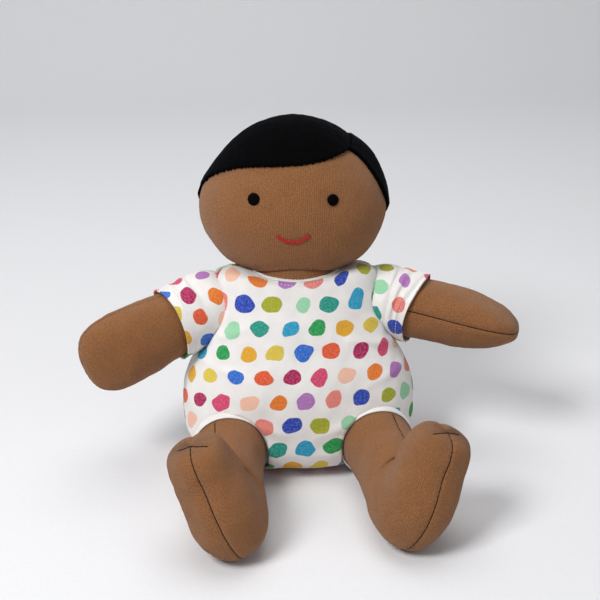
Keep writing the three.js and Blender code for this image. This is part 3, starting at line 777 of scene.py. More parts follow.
class Recipe:
    """A material being written as nodes."""

    def __init__(self, name):
        self.material = bpy.data.materials.new(name)
        self.material.use_nodes = True
        self.tree = self.material.node_tree
        self.tree.nodes.clear()

    def node(self, kind, inputs=None, **settings):
        made = self.tree.nodes.new(kind)
        for key, value in settings.items():
            setattr(made, key, value)
        for key, value in (inputs or {}).items():
            if isinstance(value, Value):
                self.tree.links.new(value.socket, made.inputs[key])
            else:
                made.inputs[key].default_value = value
        return made

    def value(self, kind, inputs=None, output=0, **settings):
        return Value(self, self.node(kind, inputs, **settings).outputs[output])

    def sum(self, operation, *values):
        return self.value("ShaderNodeMath", dict(enumerate(values)), operation=operation)

    def noise(self, where, scale, detail=2.0):
        inputs = {"Vector": where, "Scale": scale, "Detail": detail}
        return self.value("ShaderNodeTexNoise", inputs)

    def mix(self, share, first, second):
        inputs = {0: share, 6: first, 7: second}
        return self.value("ShaderNodeMix", inputs, output=2, data_type="RGBA")

    def surface(self, colour, height, lift, roughness, specular, sheen=(0, 0.5), tint=(1, 1, 1)):
        """The surface itself, with a bump from a height whose full range lifts it by a depth. The
        sheen is its weight and its roughness."""
        bump = {"Height": height, "Distance": lift, "Strength": 1.0}
        shader = {
            "Base Color": colour, "Roughness": roughness, "Specular IOR Level": specular,
            "Sheen Weight": sheen[0], "Sheen Roughness": sheen[1], "Sheen Tint": (*tint, 1.0),
            "Normal": self.value("ShaderNodeBump", bump),
        }
        out = {"Surface": self.value("ShaderNodeBsdfPrincipled", shader)}
        self.tree.nodes.active = self.node("ShaderNodeOutputMaterial", out)
        return self.material


def shade(base, factor):
    return (*(min(channel * factor, 1.0) for channel in base), 1.0)


def knit_yarns(recipe, pitch, wander=0.35):
    """Ribs of a fine knit on the cloth coordinates: a sine across them, and loops along."""
    where = recipe.value("ShaderNodeUVMap", uv_map="Cloth")
    across, along, _ = where.parts()
    across = across + recipe.noise(where, 160.0) * (pitch * wander)
    rib = recipe.sum("SINE", across * (TURN / pitch))
    loop = recipe.sum("SINE", along * (TURN / (pitch * 0.8)) + rib * 1.2)
    return where, rib, loop


def skin_material(name, base, pitch):
    """Fine ribbed knit of mixed brown yarns, with painted light and shade on its ribs: paler on the ribs
    and darker in the grooves between them.
    """
    recipe = Recipe(name)
    where, rib, loop = knit_yarns(recipe, pitch)
    speck = recipe.noise(where, 950.0, 3.0)
    patch = recipe.noise(where, 95.0, 3.0)
    tone = speck.spread(0.3, 0.7, 0.0, 0.66) + patch.spread(0.3, 0.7, 0.0, 0.12)
    # The ribs' share of the colour is painted light and shade: paler on the ribs, darker between them
    # where the grooves lie in shade.
    tone = tone + rib.spread(-1.0, 1.0, 0.0, 0.22)
    colour = recipe.mix(tone, shade(base, 0.62), shade(base, 1.4))
    height = rib * 0.36 + loop * 0.16 + speck * 0.7
    return recipe.surface(colour, height, 0.32 * MM, 0.95, 0.12, (0.2, 0.5), (0.9, 0.82, 0.74))


DOT_INKS = [
    (226, 118, 26), (28, 152, 190), (205, 62, 104), (150, 208, 166), (220, 84, 40), (30, 66, 172),
    (216, 190, 66), (172, 112, 180), (14, 150, 72), (238, 188, 164), (18, 146, 128), (168, 20, 86),
    (164, 168, 26), (34, 104, 200), (226, 128, 116), (222, 162, 28),
]
# What the print's chances are drawn from.
PRINT_SEED = 3.7
# How far the order of the inks moves on from a dot to the next in its row, and to the next row.
INK_STEPS = (7 / 16, 11 / 16)
# Half the width of a dot as a share of half its length.
DOT_NARROW_SHARE = 0.8


def printed_dots(recipe, where, base):
    """Staggered rows of uneven dots: the share of ink at each place, and its colour. A dot is
    where an oval distance, pushed about by noise, is under one."""
    s = sizes()
    over, up, _ = where.parts()
    level = up / s.dot_rise
    row = recipe.sum("FLOOR", level)
    column_at = over / s.dot_pitch + recipe.sum("PINGPONG", row, 1.0) * 0.5
    column = recipe.sum("FLOOR", column_at)
    cell = recipe.value("ShaderNodeCombineXYZ", {0: column, 1: row, 2: PRINT_SEED})
    chance = recipe.node("ShaderNodeTexWhiteNoise", {"Vector": cell}, noise_dimensions="3D")
    draws = Value(recipe, chance.outputs["Color"]).parts()
    x = (column_at - column - 0.5 + draws[0].spread(0, 1, -0.06, 0.06)) * s.dot_pitch
    y = (level - row - 0.5 + draws[1].spread(0, 1, -0.05, 0.05)) * s.dot_rise
    turn = draws[2].spread(0, 1, -0.1, 0.75)
    c, sn = recipe.sum("COSINE", turn), recipe.sum("SINE", turn)
    size = Value(recipe, chance.outputs["Value"]).spread(0, 1, 0.9, 1.1)
    long = (x * c + y * sn) / (size * s.dot_radius)
    short = (y * c - x * sn) / (size * (s.dot_radius * DOT_NARROW_SHARE))
    far = recipe.sum("SQRT", long * long + short * short)
    push = recipe.noise(where, 150.0, 0.0).spread(0.3, 0.7, -0.13, 0.13)
    fray = recipe.noise(where, 1500.0, 1.0).spread(0.3, 0.7, -0.012, 0.012)
    share = (far + push + fray).spread(0.975, 1.025, 1.0, 0.0)
    order = column * INK_STEPS[0] + row * INK_STEPS[1] + 0.03
    palette = recipe.node("ShaderNodeValToRGB", {0: recipe.sum("FRACT", order)})
    ramp = palette.color_ramp
    ramp.interpolation = "CONSTANT"
    while len(ramp.elements) < len(DOT_INKS):
        ramp.elements.new(0.5)
    for index, (stop, ink) in enumerate(zip(ramp.elements, DOT_INKS)):
        stop.position = index / len(DOT_INKS)
        stop.color = (*from_screen(*ink), 1.0)
    wash = recipe.noise(where, 700.0, 3.0).spread(0.42, 0.8, 0.0, 0.16)
    return share, recipe.mix(wash, Value(recipe, palette.outputs[0]), shade(base, 1.0))


def jersey_material(name, base, dots):
    """Fine white jersey, with printed dots when they are asked for."""
    recipe = Recipe(name)
    where, rib, loop = knit_yarns(recipe, 0.72 * MM, 0.5)
    speck = recipe.noise(where, 2100.0, 2.0)
    patch = recipe.noise(where, 70.0, 2.0)
    tone = (speck + patch).spread(0.7, 1.3)
    colour = recipe.mix(tone, shade(base, 0.9), shade(base, 1.03))
    if dots:
        share, ink = printed_dots(recipe, where, base)
        colour = recipe.mix(share, colour, ink)
    height = rib * 0.25 + loop * 0.15 + speck * 0.6
    return recipe.surface(colour, height, 0.16 * MM, 0.88, 0.2, (0.12, 0.5))


def velour_material(name, base):
    """Black cut pile: short noise that lifts it, and a cool sheen at its edges."""
    recipe = Recipe(name)
    where = recipe.value("ShaderNodeTexCoord", output="Object")
    pile = recipe.noise(where, 1700.0, 3.0)
    brushed = recipe.noise(where, 140.0, 3.0)
    tone = pile.spread(0.3, 0.7, 0.0, 0.7) + brushed.spread(0.3, 0.7, 0.0, 0.3)
    colour = recipe.mix(tone, shade(base, 0.4), shade(base, 1.5))
    return recipe.surface(colour, pile, 0.4 * MM, 0.95, 0.03, (0.02, 0.4), (0.6, 0.65, 0.8))


def fibre_material(name, base, noise, factors, lift, roughness, specular, sheen=0.0):
    """Plain fibres: one fine noise, of a scale and a detail, that mixes a darker and a paler
    shade of a colour and lifts the surface."""
    recipe = Recipe(name)
    fibre = recipe.noise(recipe.value("ShaderNodeTexCoord", output="Object"), *noise)
    dark, pale = (shade(base, factor) for factor in factors)
    colour = recipe.mix(fibre.spread(0.3, 0.7), dark, pale)
    return recipe.surface(colour, fibre, lift, roughness, specular, (sheen, 0.4))


def finishes():
    """The doll's materials by name, made once."""
    shop = bpy.data.materials
    if "Knitted skin" not in shop:
        s, c = sizes(), colours()
        skin_material("Knitted skin", c.skin, s.rib_pitch)
        jersey_material("Dotted jersey", c.suit, True)
        jersey_material("White jersey", c.suit, False)
        velour_material("Black velour", c.hair)
        # The seams' thread is a tenth as bright as the skin: partly the thread's own brown, partly painted
        # shade that darkens the seams' creases.
        brown = [channel * 0.1 for channel in c.skin]
        threads = [
            ("Eye", c.eyes, 0.03), ("Mouth", c.mouth, 0.4), ("White", c.suit, 0.4), ("Brown", brown, 0.1),
        ]
        for name, base, shine in threads:
            fibre_material(
                f"{name} thread", base, (2600.0, 2.0), (0.72, 1.28), 0.12 * MM, 0.6, shine, 0.1 * shine
            )
        fillings = [
            ("Fibre filling", (233, 230, 223), 260.0),
            ("Bead pouch weave", (207, 200, 186), 900.0),
            ("Fastening tape", (228, 225, 220), 1500.0),
        ]
        for name, base, scale in fillings:
            fibre_material(name, from_screen(*base), (scale, 4.0), (0.85, 1.05), 0.6 * MM, 0.95, 0.1)
    return shop


# Operators


# Half of the torso each: where its front and its back panel start on the way round.
HALVES = {"front": TURN / 2, "back": 0}
# How deep the torso's skin lies in the suit, and its clearances from arms, legs and neck.
SKIN_DEPTH = 1.9 * MM
ARM_GAP, LEG_GAP, NECK_GAP = 2.3 * MM, 1.6 * MM, 0.5 * MM
# Degrees below its middle at which the neck's ball meets its stem, and the stem's foot.
STEM_ANGLE = 26
STEM_FOOT = 14 * MM
NECK_GATHERS = 72


class DOLL_OT_body(bpy.types.Operator):
    """Make the torso's knitted skin and the neck that seats the head"""

    bl_idname = "doll.body"
    bl_label = "Body and neck"

    def execute(self, context):
        s = sizes()
        skin = finishes()["Knitted skin"]
        under = torso_surface(torso_profile(), -SKIN_DEPTH)
        rooms = [limb_room(shoulder(name), arm_ways(name), s.arm_root + ARM_GAP) for name in SIDES]
        rooms += [limb_room(hip(name), leg_ways(name), s.leg_root + LEG_GAP) for name in SIDES]
        rooms.append(ball_room(neck_place().origin, s.neck_radius + NECK_GAP))
        for name, start in HALVES.items():
            points, faces = trimmed(under, np.linspace(0, 1, 110), half_round(start, 90), rooms)
            points, faces, cloth = used_only(points, faces, cloth_map(points))
            piece = add_mesh(f"torso_skin_{name}_knit", points, faces, cloth)
            give_wall(piece, s.cloth_wall)
            finish_piece(piece, skin, "torso", "skin_cloth", f"torso_skin_{name}")
        self.make_neck(skin)
        return {"FINISHED"}

    def make_neck(self, skin):
        """The neck: a ball on a stem, with gathers that are a sine round it."""
        s = sizes()
        stem = s.neck_radius * math.cos(math.radians(STEM_ANGLE))
        arc = np.radians(np.linspace(-STEM_ANGLE, 90, 60))
        radius = np.concatenate([[0, stem * 0.7, stem, stem], s.neck_radius * np.cos(arc)])[:, None]
        foot = np.array([0, 0, 0.8 * MM, 1.6 * MM]) - STEM_FOOT
        height = np.concatenate([foot, s.neck_radius * np.sin(arc)])[:, None]
        angle = np.linspace(0, TURN, 361)[None, :]
        gather = 0.16 * MM * np.sin(angle * NECK_GATHERS + 1.5 * np.sin(angle * 5))
        gather = gather * smooth_step(0, 10 * MM, radius) * (radius > 0)
        grid = neck_place().out(swept(np.maximum(radius - 0.1 * MM + gather, 0), angle, height))
        piece = grid_piece("neck_skin_knit", grid, cloth_map(grid))
        finish_piece(piece, skin, "neck", "skin_cloth", "neck_skin")


# The front's folds: two ends in the front view, half the width and the height.
FOLDS = [
    ((0.060, 0.086), (0.030, 0.112), 2.6 * MM, 1.7 * MM),
    ((0.066, 0.079), (0.030, 0.089), 2.4 * MM, 1.4 * MM),
    ((0.068, 0.068), (0.042, 0.062), 2.6 * MM, 1.0 * MM),
    ((-0.062, 0.084), (-0.032, 0.098), 2.6 * MM, 1.1 * MM),
    ((-0.066, 0.074), (-0.040, 0.070), 2.4 * MM, 0.9 * MM),
    ((-0.050, 0.044), (-0.008, 0.035), 3.0 * MM, 1.0 * MM),
    ((0.008, 0.034), (0.050, 0.046), 3.0 * MM, 1.0 * MM),
    ((-0.026, 0.022), (0.028, 0.020), 3.6 * MM, 0.6 * MM),
]


def suit_relief(points):
    """The bodysuit's folds as heights over its cloth: each fold on the front is a bell-shaped
    ridge along a line of the front view, which fades at the line's ends. The whole carries
    broad soft lumps, and the front is drawn in between the legs."""
    x, y, z = np.moveaxis(points, -1, 0)
    relief = 0.4 * MM * lumps(points, 34 * MM, 5) + 0.2 * MM * lumps(points, 11 * MM, 6)
    front = smooth_step(-38 * MM, -50 * MM, y) * smooth_step(48 * MM, 30 * MM, np.abs(x))
    relief = relief - 1.9 * MM * front * smooth_step(16 * MM, 3 * MM, z)
    facing = smooth_step(2 * MM, -8 * MM, torso_place().into(points)[..., 1])
    for start, end, width, height in FOLDS:
        seen = points[..., [0, 2]] - np.array(start)
        way = np.array(end) - np.array(start)
        t = np.clip(seen @ way / (way @ way), 0, 1)
        apart = np.linalg.norm(seen - t[..., None] * way, axis=-1)
        fade = 0.35 + 0.65 * np.sin(math.pi * t)
        relief = relief + facing * height * bell(apart, width) * fade
    return relief


# How far the armholes and leg holes stand off the limbs.
ARMHOLE_GAP, LEG_HOLE_GAP = 1.95 * MM, 1.15 * MM
# From an opening's edge out to the middle of its binding, for the neck and the legs.
NECK_BINDING_AT, LEG_BINDING_AT = 1.7 * MM, 2.5 * MM
NECKLINE_STITCHES_AT = 5.4 * MM
# A binding's half width and half height, and the thickness of its strip.
NECK_ROLL = (1.3 * MM, 0.7 * MM, 0.22 * MM)
LEG_ROLL = (1.15 * MM, 0.4 * MM, 0.13 * MM)
# The middle of a leg hole on the torso, as a share up it and an angle to each side of its front.
LEG_HOLE_SHARE, LEG_HOLE_ANGLE = 0.19, 0.62
# The fastening: its foot and its length up the back, and its stitches' places in from the edge.
FASTENING_FOOT, FASTENING_LENGTH = 52 * MM, 54 * MM
PLACKET_INSET = 7


class DOLL_OT_bodysuit(bpy.types.Operator):
    """Make the dotted bodysuit: its panels, bindings, fastening and stitches"""

    bl_idname = "doll.bodysuit"
    bl_label = "Bodysuit"

    def execute(self, context):
        s = sizes()
        shop = finishes()
        surface = suit_surface()
        arm_rooms = [
            limb_room(shoulder(name), [arm_place(name).rotation[:, 2]], s.arm_root + ARMHOLE_GAP)
            for name in SIDES
        ]
        leg_rooms = [
            limb_room(hip(name), resting_ways(name), s.leg_root + LEG_HOLE_GAP) for name in SIDES
        ]
        rooms = [*arm_rooms, *leg_rooms, neckline_room(NECK_BINDING_AT)]
        for name, start in HALVES.items():
            points, faces = trimmed(surface, np.linspace(0, 1, 190), half_round(start, 300), rooms)
            cloth = self.level_map(points)
            arm_gap = np.min([room(points) for room in arm_rooms], axis=0)
            leg_gap = np.min([room(points) for room in leg_rooms], axis=0)
            left, right, along = edge_walks(points)
            lift = suit_relief(points)
            for gone, seed in ((left, 11), (right, 12)):
                lift = lift - seam_pull(gone, along, seed, 0.5 * MM, 1.4 * MM, 0.18 * MM)
            lift = lift - 0.9 * MM * bell(arm_gap, 1.5 * MM)
            lift = lift - 0.6 * MM * bell(leg_gap, 0.9 * MM)
            lift = lift - 0.3 * MM * bell(leg_gap - 3.2 * MM, 0.5 * MM)
            points = above_floor(points + outward(points) * lift[..., None], softness=0.2 * MM)
            points, faces, cloth = used_only(points, faces, cloth)
            piece = add_mesh(f"bodysuit_{name}_jersey", points, faces, cloth)
            give_wall(piece, s.cloth_wall)
            finish_piece(piece, shop["Dotted jersey"], "torso", "dot_cloth", f"bodysuit_{name}")
        self.make_neck_binding(surface)
        for name in SIDES:
            self.make_leg_binding(torso_surface(torso_profile()), name)
        self.make_fastening(shop)
        return {"FINISHED"}

    def level_map(self, points):
        """Flat cloth coordinates whose rows stay level: the distance up the middle column, and
        the distance round from it along each ring."""
        middle = points.shape[1] // 2
        up = walk(points[:, middle : middle + 1], 0)
        around = walk(points, 1)
        around = around - around[:, middle : middle + 1]
        return np.stack([around, up + 0 * around], axis=-1)

    def rolled_strip(self, half_width, half_height, wall):
        """The outline of a strip that is rolled nearly twice over an edge: places across the band
        and heights, out along its outer face on a flat spiral and back along its inner face. The
        spiral keeps to an ellipse, and drops under its own start at the end of each turn."""
        turns = np.linspace(0, 1.9, 27)
        drop = 1.15 * wall * (smooth_step(0.75, 1, turns) + smooth_step(1.75, 2, turns))
        drop = np.concatenate([drop, drop[::-1] + wall, drop[:1]])
        angle = np.concatenate([turns, turns[::-1], turns[:1]]) * TURN - TURN / 8
        return (half_width - drop) * np.cos(angle), (half_height - drop) * np.sin(angle)

    def bind(self, name, rings, normals, heights):
        """A binding: places across it, each lifted by its own height, joined up all round."""
        grid = rings + normals * heights[:, None, None]
        piece = grid_piece(f"{name}_jersey", grid, cloth_map(grid))
        finish_piece(piece, finishes()["White jersey"], "torso", "dot_cloth", name)
        return piece

    def make_neck_binding(self, surface):
        """The binding of the neckline, found by going down from the top on all sides, and the
        stitches below it."""
        angles = np.linspace(0, TURN, 361)
        starts = np.stack([np.ones_like(angles), angles], axis=-1)
        ways = np.array([-1.0, 0.0]) + 0 * starts
        margins, heights = self.rolled_strip(*NECK_ROLL)
        margins, heights = margins + NECK_BINDING_AT, heights - 0.2 * MM
        rings = ring_on(surface, neckline_room, margins, starts[::2], ways[::2], 0.5)
        flat = ring_on(surface, neckline_room, np.linspace(-1.5, 6, 9) * MM, starts, ways, 0.5)
        normals = outward(flat, closed=True)[4]
        piece = self.bind("neck_binding", rings, normals[None, ::2], heights)
        path = ring_on(surface, neckline_room, [NECKLINE_STITCHES_AT], starts, ways, 0.5)[0]
        pitch = 2.3 * MM
        sew("neckline_stitches", path + normals * 0.1 * MM, normals, pitch, pitch * 0.33, "torso")

    def make_leg_binding(self, surface, name):
        """The binding of a leg hole, found by going out from its middle on all sides."""
        s = sizes()

        def room_at(margin):
            return limb_room(hip(name), leg_ways(name), s.leg_root + margin)

        angles = np.linspace(0, TURN, 181)
        middle = np.array([LEG_HOLE_SHARE, TURN * 0.75 + SIDES[name] * LEG_HOLE_ANGLE])
        starts = np.repeat(middle[None], len(angles), axis=0)
        ways = np.stack([0.3 * np.cos(angles), 1.6 * np.sin(angles)], axis=-1)
        margins, heights = self.rolled_strip(*LEG_ROLL)
        margins, heights = margins + LEG_BINDING_AT, heights - 1.75 * MM
        rings = ring_on(surface, room_at, margins, starts, ways, 1.0)
        flat = ring_on(surface, room_at, np.linspace(-2, 7, 9) * MM, starts, ways, 1.0)
        piece = self.bind(f"{name}_leg_binding", rings, outward(flat, closed=True)[4][None], heights)

    def make_fastening(self, shop):
        """The back's two tapes and the placket over them: strips that follow the back."""
        back = torso_place().rotation[:, 1]
        layers = [
            ("loop_tape", 12, 0.8, 0.3, "Fastening tape", "tape_cloth"),
            ("hook_tape", 12, 0.8, 1.2, "Fastening tape", "tape_cloth"),
            ("back_placket", 18, 1.2, 2.1, "Dotted jersey", "dot_cloth"),
        ]
        for name, width, wall, stand, finish, slot in layers:
            placket = name == "back_placket"
            across = (edge_spacing(40) - 0.5) * width * MM
            up = FASTENING_FOOT + edge_spacing(80) * FASTENING_LENGTH
            grid = self.back_strip(torso_surface(torso_profile()), across, up)
            normals = outward(grid)
            normals = normals * np.sign((normals @ back).mean())
            from_side = np.minimum(across - across[0], across[-1] - across)[None, :]
            away = np.minimum(from_side, np.minimum(up - up[0], up[-1] - up)[:, None])
            lift = (stand + wall) * MM - 0.5 * MM * bell(away, 0.7 * MM)
            if placket:
                lift = lift - (stand - 0.2) * MM * smooth_step(3.0 * MM, 0.2 * MM, away)
                lift = lift - 0.35 * MM * bell(away - 2.2 * MM, 0.6 * MM)
            lift = lift + 0.12 * MM * lumps(grid, 9 * MM, 3)
            grid = grid + normals * lift[..., None]
            cloth = np.stack(np.broadcast_arrays(across[None, :] + 0.3, up[:, None]), axis=-1)
            piece = grid_piece(f"{name}_sewn", grid, cloth)
            give_wall(piece, wall * MM)
            finish_piece(piece, shop[finish], "torso", slot, name)
            if placket:
                self.sew_placket(grid, normals)

    def back_strip(self, surface, across, up):
        """Points on the back at a distance across the middle and a height up the torso's axis."""
        profile = torso_profile()
        height = profile.rows[:, 0] - sizes().torso_sink
        share = np.interp(up, height[1:-1], profile.share[1:-1])
        _, wide, _ = profile.at(share)
        c = np.clip(across[None, :] / wide[:, None], -1, 1)
        angle = np.arccos(np.sign(c) * np.abs(c) ** (TORSO_SQUARENESS / 2))
        return surface(np.broadcast_to(share[:, None], angle.shape), angle)

    def sew_placket(self, grid, normals):
        """Stitches round the placket's sides and foot, a few rows and columns in from its edge."""
        rows, columns = (range(PLACKET_INSET, count - PLACKET_INSET) for count in grid.shape[:2])
        down = [(i, columns.start) for i in rows]
        right = [(i, columns.stop - 1) for i in reversed(rows)]
        foot = [(rows.start, j) for j in reversed(columns)]
        path = np.array(right + foot + down)
        points, ups = (values[path[:, 0], path[:, 1]] for values in (grid, normals))
        pitch = 2.2 * MM
        sew("placket_stitches", points + ups * 0.05 * MM, ups, pitch, pitch * 0.33, "torso")


class DOLL_OT_head(bpy.types.Operator):
    """Make the head's two knitted panels"""

    bl_idname = "doll.head"
    bl_label = "Head panels"

    def execute(self, context):
        s = sizes()
        surface = head_surface()
        neck = neck_place().origin
        rooms = [ball_room(neck, s.neck_radius + 0.35 * MM)]
        for name, start in (("face_panel", TURN / 2), ("head_back_panel", 0)):
            points, faces = trimmed(surface, np.linspace(0, 1, 172), half_round(start, 260), rooms)
            cloth = cloth_map(points)
            lift = face_relief(points) - 0.25 * MM
            left, right, along = edge_walks(points)
            fade = smooth_step(0, 14 * MM, left[:, -1:] / 2)
            for gone, seed in ((left, 21), (right, 22)):
                lift = lift - seam_pull(gone, along, seed, 0.45 * MM, 1.8 * MM, 0.2 * MM) * fade
            rim = np.linalg.norm(points - neck, axis=-1) - s.neck_radius
            lift = lift + 0.55 * MM * bell(rim - 2.2 * MM, 1.4 * MM)
            points = points + outward(points) * lift[..., None]
            if name == "face_panel":
                low = head_place().into(points[:, 0])[:, 2] < 4 * MM
                rows = np.flatnonzero((rim[:, 0] > 3 * MM) & low)
                for edge, side in ((0, "right"), (-1, "left")):
                    thread_along(f"head_{side}_seam", points[rows, edge], 0.36 * MM, "head")
            points, faces, cloth = used_only(points, faces, cloth)
            piece = add_mesh(f"{name}_knit", points, faces, cloth)
            give_wall(piece, s.cloth_wall)
            finish_piece(piece, finishes()["Knitted skin"], "head", "skin_cloth", name)
        return {"FINISHED"}


# Where the stuffed head stands fuller than its form.
FULLER_HEAD = [((-58 * MM, 0, -8 * MM), 27 * MM, 2.2 * MM)]


def fuller(points, places):
    """How much fuller the head is at points in its own frame: a bell round each place."""
    swell = 0.0
    for middle, wide, high in places:
        apart = np.linalg.norm(points - np.array(middle), axis=-1)
        swell = swell + high * bell(apart, wide)
    return swell


# Each eye's place across and up the face, and its radius.
EYES = {"right": (-23.7 * MM, 0.1 * MM, 3.85 * MM), "left": (24.8 * MM, -1.4 * MM, 3.6 * MM)}
# The mouth: half its width, how high its ends lie, and how far its middle sags below them.
MOUTH_HALF, MOUTH_UP, MOUTH_SAG = 10.0 * MM, -22.7 * MM, 4.2 * MM


def face_relief(points):
    """Heights over the head's form: a fuller cheek, and small dimples that the stitched eyes and
    mouth pull in."""
    local = head_place().into(points)
    x, z = local[..., 0], local[..., 2]
    front = smooth_step(5 * MM, -15 * MM, local[..., 1])
    relief = 0.28 * MM * lumps(points, 30 * MM, 31) + 0.1 * MM * lumps(points, 9 * MM, 32)
    relief = relief + fuller(local, FULLER_HEAD)
    for across, up, _ in EYES.values():
        apart = np.hypot(x - across, z - up)
        relief = relief - 0.45 * MM * bell(apart, 6 * MM) * front
    across = np.clip(x / MOUTH_HALF, -1, 1)
    line = MOUTH_UP - MOUTH_SAG * (1 - across**2)
    apart = np.hypot(x - across * MOUTH_HALF, z - line)
    return relief - 0.4 * MM * bell(apart, 3 * MM) * front


def on_head(ways, stand=0.0):
    """Places on the head straight out from its middle along ways, found by halving the distance
    at which the oval of its own height is reached, and the way out there."""
    s = sizes()
    profile = head_profile()
    ways = unit(np.asarray(ways, float))

    def beyond(points):
        across, along = (np.maximum(half, 1e-6) for half in profile.at_first(points[..., 2]))
        power = HEAD_SQUARENESS
        inside = np.abs(points[..., 0] / across) ** power + np.abs(points[..., 1] / along) ** power < 1
        return ~inside | (np.abs(points[..., 2]) >= s.head_half_height)

    low = np.full(ways.shape[:-1], 10 * MM)
    high = np.full(ways.shape[:-1], 90 * MM)
    for _ in range(30):
        middle = (low + high) / 2
        past = beyond(ways * middle[..., None])
        low, high = np.where(past, low, middle), np.where(past, middle, high)
    return ways * ((low + high) / 2 + stand)[..., None]


def head_out(points):
    """The way out of the head at places on it, from nearby places on it."""
    small = 0.4 * MM
    base = unit(points)
    side = unit(np.cross(base, np.where(np.abs(base[..., 2:]) > 0.9, (1.0, 0, 0), (0, 0, 1.0))))
    other = np.cross(base, side)
    step = small / np.linalg.norm(points, axis=-1, keepdims=True)
    first = on_head(base + side * step) - on_head(base - side * step)
    second = on_head(base + other * step) - on_head(base - other * step)
    normals = unit(np.cross(first, second))
    return normals * np.sign((normals * base).sum(axis=-1, keepdims=True))


def front_places(x, z):
    """Places on the face straight behind points of the front view: the oval of their height."""
    across, along = head_profile().at_first(z)
    inside = np.clip(1 - np.abs(x / np.maximum(across, 1e-6)) ** HEAD_SQUARENESS, 0, 1)
    return np.stack([x, -along * inside ** (1 / HEAD_SQUARENESS), z], axis=-1)


# Where the parting ends on the face and starts at the crown's seam, across and up the head.
HAIR_APEX = (34.5 * MM, 28.8 * MM)
PARTING = (40 * MM, 42 * MM)
# How high the hair ends at each side and at the nape, and how thick its pile is.
HAIR_ENDS = {"right": 1.5 * MM, "left": -7.5 * MM}
NAPE = -31 * MM
PILE = 1.9 * MM
# The hair reaches this share of the head's half width at its sides.
SIDE_SHARE = 0.999
# Where the hair stands fuller: a place in the head's frame, how wide and how high.
FULLER_HAIR = [
    ((46 * MM, 4 * MM, 25 * MM), 17 * MM, 3.5 * MM),
    ((-36 * MM, 4 * MM, 34 * MM), 16 * MM, 0.8 * MM),
]


def hair_coat(points, away, seed):
    """Lifts places on the head by the pile: a quarter round at its edge, then nearly level, and
    fuller round a few places, each a bell."""
    edge = np.clip(away / (1.7 * MM), 0, 1)
    top = 0.25 * MM + PILE * np.sqrt(np.maximum(1 - (1 - edge) ** 2, 0))
    top = top + fuller(points, FULLER_HAIR) * smooth_step(0, 13 * MM, away) + fuller(points, FULLER_HEAD)
    return top + 0.1 * MM * lumps(points, 5 * MM, seed) * edge


